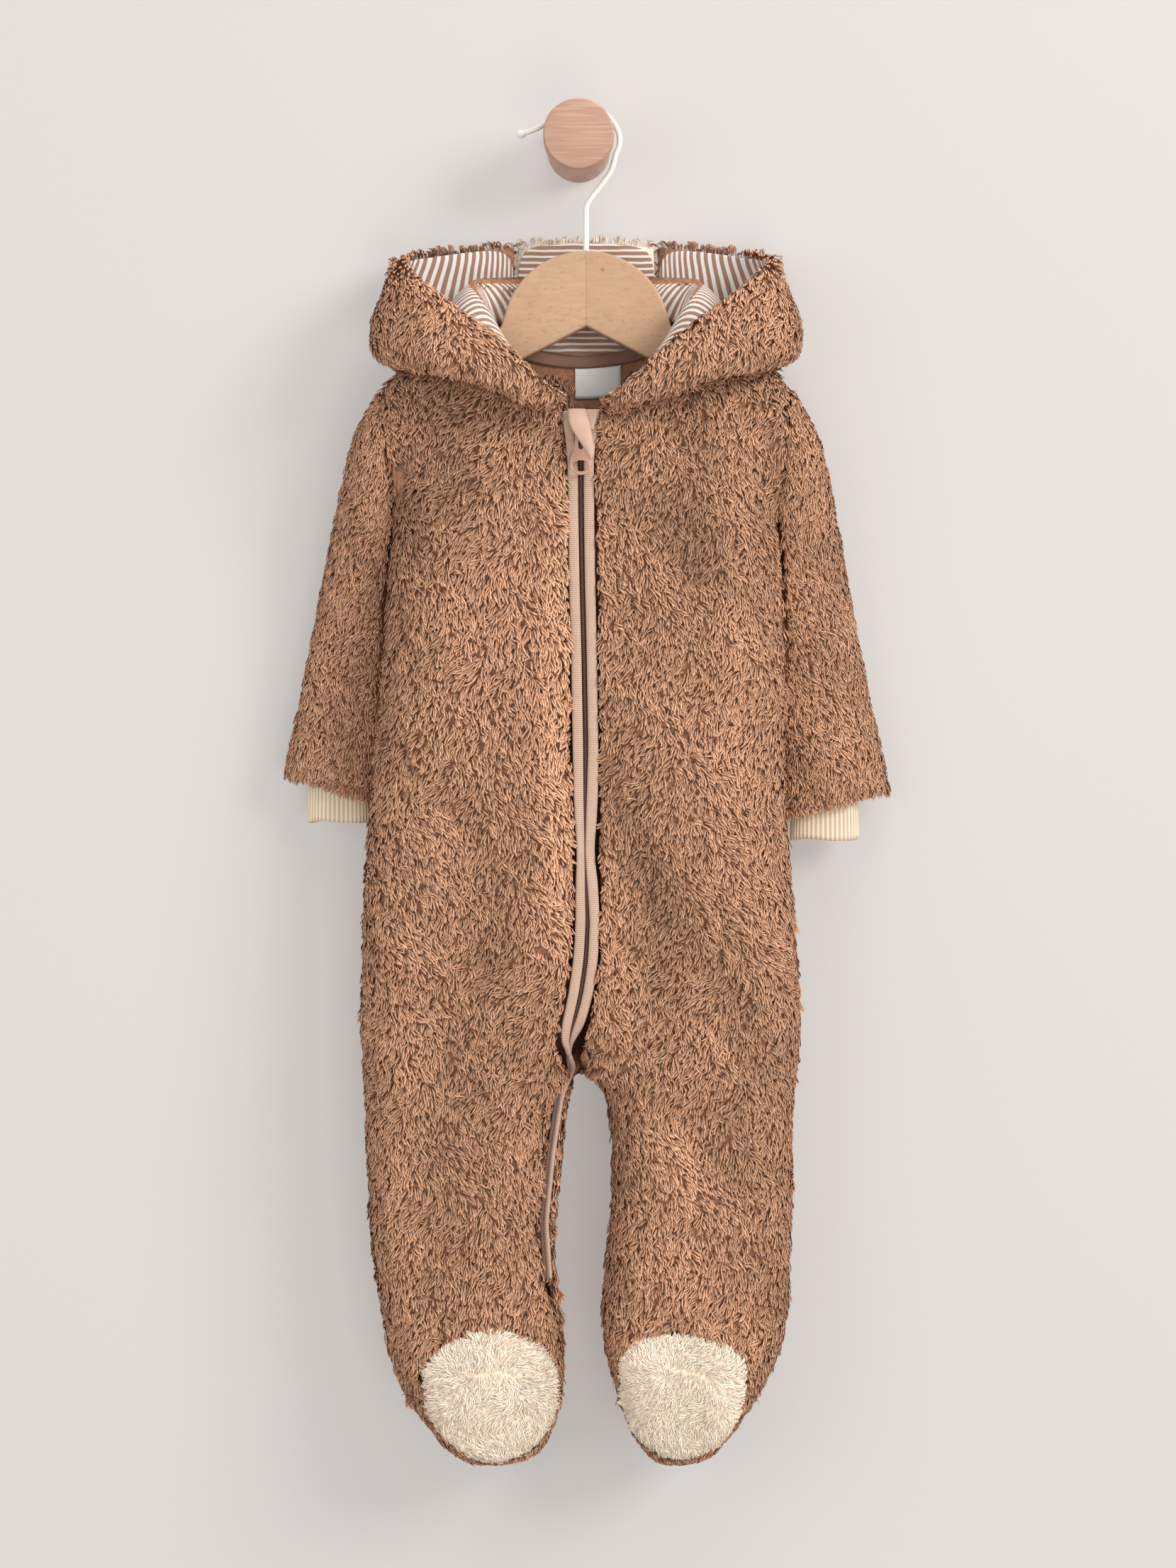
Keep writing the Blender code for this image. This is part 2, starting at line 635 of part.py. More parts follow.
def build_body():
    add_wall("front_right", "brown_fleece", panel_sheet(RIGHT, FRONT))
    add_wall("front_left", "brown_fleece", panel_sheet(LEFT, FRONT))
    add_wall("back", "brown_fleece", panel_sheet(RIGHT, BACK), panel_sheet(LEFT, BACK))


# ================================================================ feet
def build_foot(side, word):
    """The cream toe cap, set into the front, and the brown sole that closes the foot."""
    middle, _ = CAP_ACROSS[side]
    outer, inner = [], []
    for size in CAP_RINGS:
        ring = []
        for k in range(CAP_COLUMNS + 1):
            across, level = cap_edge(side, 2 * math.pi * k / CAP_COLUMNS, size)
            ring.append(wall_points(side, FRONT, across, level, lift=CAP_PUFF * (1 - size**2)))
        outer.append([a for a, _ in ring])
        inner.append([b for _, b in ring])
    shift = np.array([0, -SEAM / 2, 0])
    add_wall("toe_cap_" + word, "cream_fleece", (np.array(outer) + shift, np.array(inner) + shift))

    front = [(FRONT, u, v) for u, v in foot_edge(side, below=True)]
    back = [(BACK, k / PANEL_COLUMNS, CAP_LEVEL) for k in range(PANEL_COLUMNS, -1, -1)]
    ring = front + back[1:]
    outer, inner = [], []
    for share in SOLE_ROWS:
        pairs = []
        for face, across, level in ring:
            start = level + 0.03
            pairs.append(wall_points(side, face, across, start + (SOLE_LAST - start) * share))
        outer.append([a for a, _ in pairs])
        inner.append([b for _, b in pairs])
    pole = section_point(side, FRONT, 0.5, SECTIONS)
    outer.append([pole] * len(ring))
    inner.append([pole + np.array([0, 0, FLEECE])] * len(ring))
    add_wall("sole_" + word, "brown_fleece", (np.array(outer), np.array(inner)))


# ================================================================ sleeves
def sleeve_ring(side, row, turn):
    """A point of one ring of SLEEVE_ROWS; turn 0 is its outer edge, 0.25 its front."""
    size = dict(zip(SLEEVE_COLUMNS, row))
    angle = 2 * math.pi * turn
    down = (SLEEVE_ROWS[0][1] - size["outer_z"]) / (SLEEVE_ROWS[0][1] - SLEEVE_ROWS[-1][1])
    outer = np.array([side * size["outer_x"], size["mid_y"], size["outer_z"]])
    inner_x = size["inner_x"] - SLEEVE_TUCK[side] * down
    inner = np.array([side * inner_x, size["mid_y"], size["inner_z"]])
    depth = math.sin(angle) * (1 + 0.3 * math.cos(angle) ** 2)
    point = (outer + inner) / 2 + (outer - inner) / 2 * math.cos(angle)
    return (point + np.array([0, -size["half_depth"] * depth, -SLEEVE_DROP[side] * down])) * MM


def armhole(side, turn):
    """The body's edge that the sleeve is sewn to, as (face, level)."""
    if turn <= 0.5:
        return FRONT, -1 + 2 * turn
    return BACK, 1 - 2 * turn


def sleeve_point(side, turn, place):
    """A point of the sleeve: place 0 is the armhole and each row of SLEEVE_ROWS is one more."""
    turn %= 1.0
    face, level = armhole(side, turn)
    start = body_point(side, face, 0.0, level) + np.array([side * 1.8 * SEAM, face * SEAM / 2, 0])
    knots = np.array([start] + [sleeve_ring(side, row, turn) for row in SLEEVE_ROWS])
    return spline_point(knots, place)


def sleeve_normal(side, turn, place):
    du, dv = 0.01, 0.05
    low, high = max(place - dv, 0), min(place + dv, len(SLEEVE_ROWS))
    round_run = sleeve_point(side, turn + du, place) - sleeve_point(side, turn - du, place)
    down_run = sleeve_point(side, turn, high) - sleeve_point(side, turn, low)
    return unit(np.cross(round_run, down_run)) * side


def build_sleeve(side, word):
    columns = 2 * UPPER_ROWS
    steps = [2] + [int(row[-1]) for row in SLEEVE_ROWS[:-1]]
    places = rows_between(steps)
    outer, inner = [], []
    for place in places:
        ring = []
        for k in range(columns + 1):
            turn = k / columns
            point = sleeve_point(side, turn, place)
            if place == 0:
                face, level = armhole(side, turn % 1.0)
                normal = body_normal(side, face, 0.0, level)
            else:
                normal = sleeve_normal(side, turn, place)
            ring.append((point, point - normal * FLEECE))
        outer.append([a for a, _ in ring])
        inner.append([b for _, b in ring])
    add_wall("sleeve_" + word, "brown_fleece", (np.array(outer), np.array(inner)))


def cuff_point(side, turn, z, shrink):
    angle = 2 * math.pi * turn
    outer_x, inner_x = CUFF_EDGES[side]
    middle = (outer_x + inner_x) / 2
    x = middle + ((outer_x - inner_x) / 2 - shrink) * math.cos(angle)
    depth = math.sin(angle) * (1 + 0.3 * math.cos(angle) ** 2)
    y = CUFF_Y - (CUFF_HALF_DEPTH - shrink) * depth
    return np.array([side * x, y, z + CUFF_SLOPE[side] * (x - middle)]) * MM


def build_cuff(side, word):
    top, bottom = CUFF_LEVELS[side]
    rows = [top + (bottom - top) * k / 3 for k in range(4)]
    turns = [k / CUFF_COLUMNS for k in range(CUFF_COLUMNS)] + [0]
    outer = np.array([[cuff_point(side, t, z, 0) for t in turns] for z in rows])
    inner = np.array([[cuff_point(side, t, z, CUFF_THICK / MM) for t in turns] for z in rows])
    add_wall("cuff_" + word, "cream_rib", (outer, inner))


# ================================================================ hood
def neck_pair(side, station):
    """The body's outer and inner point at the neckline, at a station of the hood."""
    if station <= NECK_SIDE_STATION:
        face, share = FRONT, 1 - station / NECK_SIDE_STATION
    else:
        face = BACK
        share = (station - NECK_SIDE_STATION) / (len(RIDGE) - 1 - NECK_SIDE_STATION)
    column = NECK_COLUMN + (PANEL_COLUMNS - NECK_COLUMN) * share
    last = panel_edge(side, face, -1)
    low = min(int(column), PANEL_COLUMNS - 1)
    pairs = []
    for j in (low, low + 1):
        point = body_point(side, face, column_across(j, last), -1)
        normal = body_normal(side, face, column_across(j, last), -1)
        if j == PANEL_COLUMNS and face == BACK:
            normal = middle_normal(side, face, -1)
        pairs.append((point, point - normal * FLEECE))
    f = column - low
    lift = np.array([0, face * SEAM / 2, SEAM * 2.3])
    return tuple(pairs[0][i] * (1 - f) + pairs[1][i] * f + lift for i in (0, 1))


def hood_point(side, station, place):
    """A point where the lining meets the fleece: place 0 is the neck seam and 5 the brim."""
    last = len(RIDGE) - 1
    mirrored = side
    if station > last:  # past the middle of the back
        station, mirrored = 2 * last - station, -side
    knots = [neck_pair(mirrored, station)[1]]
    for line in STATION_LINES:
        x, y, z = spline_point(line, station)
        knots.append(np.array([mirrored * x, y, z]) * MM)
    return spline_point(np.array(knots), place)


def hood_normal(side, station, place):
    du, dv = 0.05, 0.05
    along = hood_point(side, station + du, place) - hood_point(side, max(station - du, 0), place)
    up = hood_point(side, station, min(place + dv, 5)) - hood_point(side, station, max(place - dv, 0))
    return unit(np.cross(along, up)) * side


def pile(place):
    """The hood's fleece is pressed thinner where it is folded against itself."""
    return FLEECE - (FLEECE - PRESSED) * smooth_step(0, 0.6, place) * (1 - smooth_step(2.1, 3.0, place))


def hood_stations(first, last, columns):
    return [first + (last - first) * k / columns for k in range(columns + 1)]


def hood_sheets(side, stations, shift_x):
    """The fleece and the lining over some stations, each as (outer, inner)."""
    fleece, lining = ([], []), ([], [])
    shift = np.array([shift_x, 0, 0])
    for place in rows_between(HOOD_STEPS):
        rows = [[], [], [], []]
        for station in stations:
            point = hood_point(side, station, place)
            normal = hood_normal(side, station, place)
            lined = hood_point(side, station, max(place, 0.1))
            if place == 0:
                at = min(station, 2 * (len(RIDGE) - 1) - station)
                body_side = side if station <= len(RIDGE) - 1 else -side
                outside, inside = neck_pair(body_side, at)
                normal = unit(outside - inside)
            rows[0].append(point + normal * pile(place) + shift)
            rows[1].append(point + shift)
            rows[2].append(lined - normal * SEAM + shift)
            rows[3].append(lined - normal * (SEAM + LINING) + shift)
        fleece[0].append(rows[0])
        fleece[1].append(rows[1])
        lining[0].append(rows[2])
        lining[1].append(rows[3])
    return (np.array(fleece[0]), np.array(fleece[1])), (np.array(lining[0]), np.array(lining[1]))


def build_hood():
    for side, word in ((RIGHT, "right"), (LEFT, "left")):
        stations = hood_stations(0, NECK_SIDE_STATION, FRONT_HOOD_COLUMNS)
        stations += hood_stations(NECK_SIDE_STATION, GUSSET_STATION, SIDE_HOOD_COLUMNS)[1:]
        fleece, lining = hood_sheets(side, stations, side * SEAM)
        add_wall("hood_" + word, "brown_fleece", fleece)
        add_wall("hood_lining_" + word, "striped_jersey", lining)
    last = len(RIDGE) - 1
    stations = hood_stations(GUSSET_STATION, 2 * last - GUSSET_STATION, 2 * GUSSET_COLUMNS)
    fleece, lining = hood_sheets(RIGHT, stations, 0)
    add_wall("hood_gusset", "cream_fleece", fleece)
    add_wall("hood_lining_gusset", "striped_jersey", lining)


# ================================================================ zip
def zip_levels():
    upper = [-1, -0.83, -0.67, -0.5, -0.33]
    steps = [1] * 5 + [2] * 3 + [1] * (ZIP_END - CROTCH_ROW)
    return upper + rows_between(steps)[:-1] + [ZIP_END - 0.03]


def zip_strip(profile):
    """A strip along the zip. The profile gives (across, sunk) points from the zip's right to its
    left, by the share of its length and its level."""
    levels = zip_levels()
    return np.array([
        [zip_point(a, level, sunk) for a, sunk in profile(k / (len(levels) - 1), level)]
        for k, level in enumerate(levels)
    ])


def zip_gap(share):
    return ZIP_GAP_TOP + (ZIP_GAP_END - ZIP_GAP_TOP) * share


def add_zip_strip(name, finish, profile, thickness):
    under = lambda share, level: [(a, sunk + thickness) for a, sunk in profile(share, level)]
    add_wall(name, finish, (zip_strip(profile), zip_strip(under)))


def build_zip():
    def binding(share, level, side):
        near = zip_gap(share) / 2 + zip_flare(level)
        pinch = 0.3 * smooth_step(0.3, 0.5, share) + 0.3 * smooth_step(0.6, 0.7, share)
        if side == LEFT:  # it bends most beside the crotch
            pinch += 1.5 * math.exp(-(((share - 0.76) / 0.06) ** 2))
        far = near + BINDING_WIDTH - pinch * MM
        edge, top = BINDING_SUNK + 0.9 * MM, BINDING_SUNK
        points = [(near, edge), (near + 1.5 * MM, top), (far - 1.5 * MM, top), (far, edge)]
        return [(side * a, sunk) for a, sunk in points]

    for side, word in ((RIGHT, "right"), (LEFT, "left")):
        add_zip_strip(
            "binding_" + word, "tan_binding", lambda share, level: binding(share, level, side), BINDING_THICK
        )

    def chain(share, level):
        half = zip_gap(share) / 2 - 0.8 * MM
        return [(-half, CHAIN_SUNK), (0, CHAIN_SUNK - 0.3 * MM), (half, CHAIN_SUNK)]

    add_zip_strip("zip_chain", "zip_teeth", chain, CHAIN_THICK)


def zip_level_at(z):
    """The level where the zip hangs that low."""
    low, high = -1.0, 1.0
    for _ in range(30):
        level = (low + high) / 2
        low, high = (level, high) if zip_point(0, level, 0)[2] > z else (low, level)
    return low


def add_box(name, finish, low, high, collection="pramsuit"):
    """A box between two corners."""
    bm = bmesh.new()
    bmesh.ops.create_cube(bm, size=1)
    for vert in bm.verts:
        vert.co = [low[i] if vert.co[i] < 0 else high[i] for i in range(3)]
    mesh = bpy.data.meshes.new(name)
    bm.to_mesh(mesh)
    bm.free()
    return add_object(name, mesh, finish, collection)


def build_slider():
    """The slider lies on the two bindings, with a neck between them and a bridge in front that
    holds the bar of the pull tab. The tab turns about that bar."""
    middle = zip_point(0, zip_level_at(SLIDER_Z), BINDING_SUNK)
    x, y, z = middle[0] + SUIT_X, middle[1] - SLIDER_CLEAR, middle[2]
    wide, tall, thick = (size * MM for size in SLIDER_PLATE)
    slider = add_box("zip_slider", "zip_metal", (x - wide / 2, y - thick, z - tall / 2),
                     (x + wide / 2, y, z + tall / 2))
    front = y - thick
    deep, long, side = (size * MM for size in BRIDGE)
    wall = BRIDGE_WALL * MM
    half = long / 2 + wall
    pieces = {
        "slider_neck": ((x - 1.0 * MM, y - 0.5 * MM, z - 2 * MM), (x + 1.0 * MM, y + 1.9 * MM, z + 2 * MM)),
        "bridge_top": ((x - side / 2, front - deep - wall, z - half), (x + side / 2, front - deep, z + half)),
        "bridge_foot_1": ((x - side / 2, front - deep - wall, z - half), (x + side / 2, y - 0.5 * MM, z - half + wall)),
        "bridge_foot_2": ((x - side / 2, front - deep - wall, z + half - wall), (x + side / 2, y - 0.5 * MM, z + half)),
    }
    for name, (low, high) in pieces.items():
        piece = add_box(name, "zip_metal", low, high, "cutters")
        piece.hide_render = True
        piece.display_type = "WIRE"
        join = slider.modifiers.new(name, "BOOLEAN")
        join.operation = "UNION"
        join.object = piece
    axis = (x, front - TAB_AXIS * MM, z)
    add_flat_outline("zip_pull_tab", tab_outlines(), TAB_THICK * MM, 0.35 * MM, "zip_metal", axis)


def tab_outlines():
    """The tab's outline, the window round the bridge and the hole in its wide end, from its bar."""
    half = [(wide, -below) for below, wide in TAB_ROWS]
    outline = half + [(0, -TAB_ROWS[-1][0] - 0.2)] + [(-x, z) for x, z in reversed(half)]
    window = [(1.3, -0.7), (1.3, -4.0), (-1.3, -4.0), (-1.3, -0.7)]
    below, wide, tall = TAB_HOLE
    hole = [
        (wide * math.cos(a) * (1 - 0.12 * math.sin(a)), -below + tall * math.sin(a))
        for a in (math.radians(k) for k in range(0, 360, 30))
    ]
    return [outline, window, hole]


def build_guard():
    """The cloth flap that hangs from the neck over the slider."""
    rows = []
    for right_x, left_x, y, z in GUARD_ROWS:
        middle = (right_x + left_x) / 2
        rows.append([(right_x, y + 0.5, z), (middle, y, z), (left_x, y + 0.3, z)])
    outer = np.array(rows) * MM
    add_wall("zip_guard", "tan_binding", (outer, outer + np.array([0, GUARD_THICK * MM, 0])))


def build_neck_finish():
    """The tape over the back neck seam and the blank label below it, on the back's inner side."""
    def sheets(levels, reach_right, reach_left, columns, thickness):
        made = []
        for side, reach in ((RIGHT, reach_right), (LEFT, reach_left)):
            outer, inner = [], []
            for level in levels:
                row = []
                for k in range(columns + 1):
                    across = 1 - (1 - edge_across(side, BACK, level, reach * MM)) * (1 - k / columns)
                    point = body_point(side, BACK, across, level)
                    normal = body_normal(side, BACK, across, level)
                    if k == columns:
                        normal = middle_normal(side, BACK, level)
                    row.append((point - normal * (FLEECE + SEAM), point - normal * (FLEECE + SEAM + thickness)))
                outer.append([a for a, _ in row])
                inner.append([b for _, b in row])
            made.append((np.array(outer), np.array(inner)))
        return made

    add_wall("neck_tape", "brown_tape", *sheets(TAPE_LEVELS, 44, 44, 5, 1.2 * MM))
    add_wall("label", "white_label", *sheets(LABEL_LEVELS, 3.4, 23.8, 3, 0.6 * MM))


# ================================================================ hanger and peg
def hanger_outline():
    """Its (x, z) outline: a round crown, arms that slope down, and a notch underneath."""
    crown_radius, crown_top, notch = 49, -65, -109
    half = [
        (crown_radius * math.sin(a), crown_top - crown_radius * (1 - math.cos(a)))
        for a in (math.radians(k) for k in (0, 14, 28, 42, 55, 66))
    ]
    half += [(49.5, -108.5), (56, -118.5), (75, -127.5), (90, -133.5), (103, -142), (111, -151)]
    half += [(112, -157), (108, -162), (101, -162)]
    other = [(-x, z) for x, z in reversed(half[1:])]
    return half + [(0, notch)] + other


def build_hanger():
    hanger = add_flat_outline(
        "hanger", [hanger_outline()], HANGER_THICK, HANGER_ROUNDING, "beech", (SUIT_X, HANGER_Y, 0)
    )
    cutter_mesh = bpy.data.meshes.new("hook_hole")
    bm = bmesh.new()
    bmesh.ops.create_cone(bm, cap_ends=True, segments=12, radius1=HOOK_HOLE, radius2=HOOK_HOLE,
                          depth=2 * (HOOK_DEPTH + 0.6 * MM))
    bm.to_mesh(cutter_mesh)
    bm.free()
    cutter = add_object("hook_hole", cutter_mesh, "beech", "cutters")
    cutter.location = (SUIT_X, HANGER_Y, -65 * MM)
    cutter.display_type = "WIRE"
    cutter.hide_render = True
    cut = hanger.modifiers.new("hook_hole", "BOOLEAN")
    cut.operation = "DIFFERENCE"
    cut.object = cutter


HOOK_ROUTE = (  # x, z and the size of the wire there
    (0, -79, 1), (0, -60, 1), (0, -44, 1), (0.2, -39, 1), (2.5, -34.5, 1), (9, -26, 1), (14.5, -18, 1),
)
HOOK_ARC = (-4.4, 0.0, 20.7)  # x and z of its middle, and its radius
HOOK_TAIL = ((-24.5, 9.5, 1), (-28.5, 7.0, 1), (-33, 5.3, 1), (-36, 4.2, 1.0), (-36.8, 4.0, 1.45),
             (-39.0, 3.3, 1.55), (-40.2, 2.9, 1.0))


def build_hook():
    middle_x, middle_z, radius = HOOK_ARC
    arc = [
        (middle_x + radius * math.cos(a) * (1 + 0.16 * max(math.cos(a), 0)), middle_z + radius * math.sin(a), 1)
        for a in (math.radians(k) for k in range(-24, 145, 12))
    ]
    route = list(HOOK_ROUTE) + arc + list(HOOK_TAIL)
    curve = bpy.data.curves.new("hook_line", "CURVE")
    curve.dimensions = "3D"
    curve.bevel_depth = HOOK_RADIUS
    curve.bevel_resolution = 2
    curve.use_fill_caps = True
    spline = curve.splines.new("POLY")
    spline.points.add(len(route) - 1)
    for point, (x, z, size) in zip(spline.points, route):
        point.co = (x * MM + SUIT_X, HANGER_Y, z * MM, 1)
        point.radius = size
    add_object("hanger_hook", curve, "white_enamel")


def build_peg():
    """A turned peg: a neck that carries the hook, and a wider round head."""
    head_start = PEG_LENGTH - PEG_HEAD
    round_edge = 1.2 * MM
    profile = [
        (0, -PEG_LENGTH), (PEG_RADIUS - round_edge, -PEG_LENGTH), (PEG_RADIUS, -PEG_LENGTH + round_edge),
        (PEG_RADIUS, -head_start), (PEG_NECK_RADIUS, -head_start), (PEG_NECK_RADIUS, 0), (0, 0),
    ]
    mesh = bpy.data.meshes.new("wall_peg")
    mesh.from_pydata([(r, y, 0) for r, y in profile], [(k, k + 1) for k in range(len(profile) - 1)], [])
    peg = add_object("wall_peg", mesh, "peg_wood")
    screw = peg.modifiers.new("turned", "SCREW")
    screw.axis = "Y"
    screw.steps = screw.render_steps = 40
    screw.use_merge_vertices = True
    screw.use_normal_flip = True
    screw.merge_threshold = 0.00005
    screw.use_smooth_shade = False


def main():
    clear_scene()
    new_collection("pramsuit")
    new_collection("cutters", hidden=True)
    build_peg()
    build_hook()
    build_hanger()
    build_body()
    for side, word in ((RIGHT, "right"), (LEFT, "left")):
        build_foot(side, word)
        build_sleeve(side, word)
        build_cuff(side, word)
    build_hood()
    build_neck_finish()
    build_zip()
    build_slider()
    build_guard()


main()
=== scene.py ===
"""A baby's hooded fleece pramsuit on its hanger and wall peg, dressed for a close look.

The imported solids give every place. Each fleece piece becomes a thin backing under the tips of
its pile, and a separate pile of curled locks stands on it. The lining, rib, zip, hanger and peg
are made new in the space of their solids. Lengths are in metres, +Z is up, the wall is the plane
y = 0 and the suit's front faces -Y. "Right" and "left" are the wearer's.
"""

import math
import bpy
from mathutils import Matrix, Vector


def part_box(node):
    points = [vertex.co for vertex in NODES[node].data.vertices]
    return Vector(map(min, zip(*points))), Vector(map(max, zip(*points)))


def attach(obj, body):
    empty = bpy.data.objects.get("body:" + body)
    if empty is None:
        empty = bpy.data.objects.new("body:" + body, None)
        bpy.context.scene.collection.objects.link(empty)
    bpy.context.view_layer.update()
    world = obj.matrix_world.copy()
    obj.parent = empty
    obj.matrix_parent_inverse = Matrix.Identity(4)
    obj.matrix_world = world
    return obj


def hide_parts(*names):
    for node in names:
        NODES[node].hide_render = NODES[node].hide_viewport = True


bl_info = {
    "name": "Pramsuit looks",
    "version": (1, 0, 0),
    "blender": (4, 5, 0),
    "location": "3D View > Sidebar > Pramsuit",
    "description": "Builds the visible pieces of the pramsuit, its hanger and its peg",
    "category": "Object",
}

import bmesh
import bpy
import numpy as np
from mathutils import Matrix, Vector
from mathutils.bvhtree import BVHTree

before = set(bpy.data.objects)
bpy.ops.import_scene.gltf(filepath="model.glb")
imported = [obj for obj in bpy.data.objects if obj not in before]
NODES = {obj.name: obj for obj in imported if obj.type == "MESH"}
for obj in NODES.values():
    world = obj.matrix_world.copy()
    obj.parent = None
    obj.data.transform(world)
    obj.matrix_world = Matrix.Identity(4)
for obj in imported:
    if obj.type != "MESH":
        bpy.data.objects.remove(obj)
MM = 0.001
SUIT = "suit_hanger_and_peg"
SUIT_X = 0.0044  # the middle of the suit and the hanger


# ================================================================ sizes and colours
def length(name, description, default):
    return bpy.props.FloatProperty(name=name, description=description, default=default, unit="LENGTH")


def number(name, description, default):
    return bpy.props.FloatProperty(name=name, description=description, default=default)


def colour(name, description, default):
    return bpy.props.FloatVectorProperty(
        name=name, description=description, default=default, size=3, subtype="COLOR", min=0, max=1
    )


class PileSettings(bpy.types.PropertyGroup):
    """The curled pile of the fleece."""

    height: length("Height", "How far the tips stand above the backing", 3.6 * MM)
    lock_length: length("Lock length", "Length of one curled lock", 4.9 * MM)
    lock_width: length("Lock width", "Width of one lock at its middle", 1.18 * MM)
    tuft_radius: length("Tuft radius", "How far the locks of one tuft spread", 1.35 * MM)
    tufts: number("Tufts per square centimetre", "How closely the tufts of four locks stand", 15.2)
    swirl: number("Swirl", "How far the nap turns from place to place, in radians", 0.52)
    stray: number("Stray", "How far single tufts turn from the nap, in radians", 0.28)


class ColourSettings(bpy.types.PropertyGroup):
    """Base colours, linear."""

    fleece_tip: colour("Fleece tips", "Brown pile where light catches it", (0.90, 0.495, 0.295))
    # painted shade: the roots are darker for the shade that falls between the locks
    fleece_root_shade: colour("Fleece roots", "Brown pile down at its backing", (0.20, 0.078, 0.043))
    cream_tip: colour("Cream tips", "Cream pile where light catches it", (1.0, 0.87, 0.71))
    # painted shade: the roots are a little darker for the shade that falls between the locks
    cream_root_shade: colour("Cream roots", "Cream pile down at its backing", (0.95, 0.78, 0.60))
    stripe: colour("Stripe", "Brown stripe of the jersey", (0.36, 0.205, 0.14))
    jersey: colour("Jersey", "Ground of the striped jersey", (0.83, 0.80, 0.76))
    rib: colour("Rib", "Cuffs", (0.78, 0.64, 0.46))
    binding: colour("Binding", "Bindings and guard of the zip", (0.56, 0.375, 0.277))
    teeth: colour("Teeth", "Teeth of the zip", (0.11, 0.045, 0.03))
    metal: colour("Zip metal", "Slider and pull tab", (0.60, 0.36, 0.25))
    tape: colour("Tape", "Herringbone tape of the neck", (0.32, 0.17, 0.115))
    label: colour("Label", "Blank satin label", (0.95, 0.95, 0.90))
    beech: colour("Beech", "Hanger", (0.53, 0.335, 0.20))
    peg: colour("Peg", "Turned wood of the peg", (0.52, 0.31, 0.215))
    enamel: colour("Enamel", "Hook", (0.88, 0.86, 0.80))
    wall: colour("Wall", "Wall behind the suit", (0.375, 0.355, 0.345))


class PramsuitSettings(bpy.types.PropertyGroup):
    """Everything that can be changed before the pieces are built."""

    pile: bpy.props.PointerProperty(type=PileSettings)
    colours: bpy.props.PointerProperty(type=ColourSettings)


# ================================================================ tables
# Each fleece piece: its node, the way its outer side faces, its slot, how densely it is covered
# and how large its locks are compared with the rest, and how much its nap swirls.
FLEECE_COLUMNS = ("node", "toward", "slot", "cover", "lock", "swirl")
FLEECE = (
    ("front_right", (0, -1, 0), "brown_fleece", 1.0, 1.0, 1.0),
    ("front_left", (0, -1, 0), "brown_fleece", 1.0, 1.0, 1.0),
    ("back", (0, 1, 0), "brown_fleece", 0.86, 1.5, 0.8),
    ("sleeve_right", (-1, 0, 0), "brown_fleece", 1.15, 0.86, 0.45),
    ("sleeve_left", (1, 0, 0), "brown_fleece", 1.15, 0.86, 0.45),
    ("hood_right", (0, 0, 0), "brown_fleece", 0.98, 1.0, 1.0),
    ("hood_left", (0, 0, 0), "brown_fleece", 0.98, 1.0, 1.0),
    ("sole_right", (0, 0, -1), "brown_fleece", 0.95, 1.0, 1.0),
    ("sole_left", (0, 0, -1), "brown_fleece", 0.95, 1.0, 1.0),
    ("hood_gusset", (0, 0, 0), "cream_fleece", 0.9, 1.0, 0.8),
    ("toe_cap_right", (0, -1, 0), "cream_fleece", 1.0, 0.72, 1.6),
    ("toe_cap_left", (0, -1, 0), "cream_fleece", 1.0, 0.72, 1.6),
)
HOOD_LINING = {
    "hood_right": "hood_lining_right", "hood_left": "hood_lining_left", "hood_gusset": "hood_lining_gusset",
}
SLEEVES = {"sleeve_right": -1, "sleeve_left": 1}  # and the side that each is on, along x
KEPT_BARE = {  # the pieces that the locks of each kind of fleece stop at
    "brown_fleece": (
        "toe_cap_right", "toe_cap_left", "binding_right", "binding_left", "cuff_right", "cuff_left",
    ),
    "cream_fleece": (),
}
WALL = 5.5 * MM  # thickness of the fleece with its pile
RIM_PILE = 1.0 * MM  # depth of the pile along a piece's rim
CAP_PILE = 0.55  # height of the toe caps' pile, compared with the rest
NECK_PILE = 2.6 * MM  # height of the pile inside the back neck
NECK_FLOOR = -0.215  # lowest part of the inner side of the back that shows in the neck
HEM_ROLL = 3.2 * MM  # how far the sleeves' hems stand out
FRINGE_FOOT = (-0.085, -0.075)  # heights between which the hood's pile turns into a fringe
FRINGE = (2.6, 5.4)  # how much longer its locks stand, from and to, in mm
LINED_BELOW = -0.066  # under this height the side of the gusset that faces the neck is lined

# Soft creases of the front that the solids are too coarse for: from one point to another in the
# picture plane, in mm from the middle of the suit, with a width and a height.
CREASE_COLUMNS = ("x0", "z0", "x1", "z1", "width", "height")
CREASES = (
    (-112, -175, -96, -250, 8, -2.6), (-104, -170, -88, -230, 10, 1.9),
    (104, -182, 88, -262, 8, -2.9), (96, -180, 78, -246, 10, 2.1),
    (20, -330, 44, -470, 12, -2.4), (40, -380, 72, -520, 14, 1.9),
    (-30, -480, -70, -560, 12, -2.1), (-16, -512, -60, -548, 10, 1.6),
    (18, -512, 66, -560, 12, -2.2), (30, -560, 50, -690, 15, 1.6),
    (-100, -540, -84, -600, 12, -1.9), (104, -600, 88, -660, 12, -2.2),
    (-60, -600, -40, -690, 15, 1.6), (-14, -250, -22, -330, 14, 1.8),
)
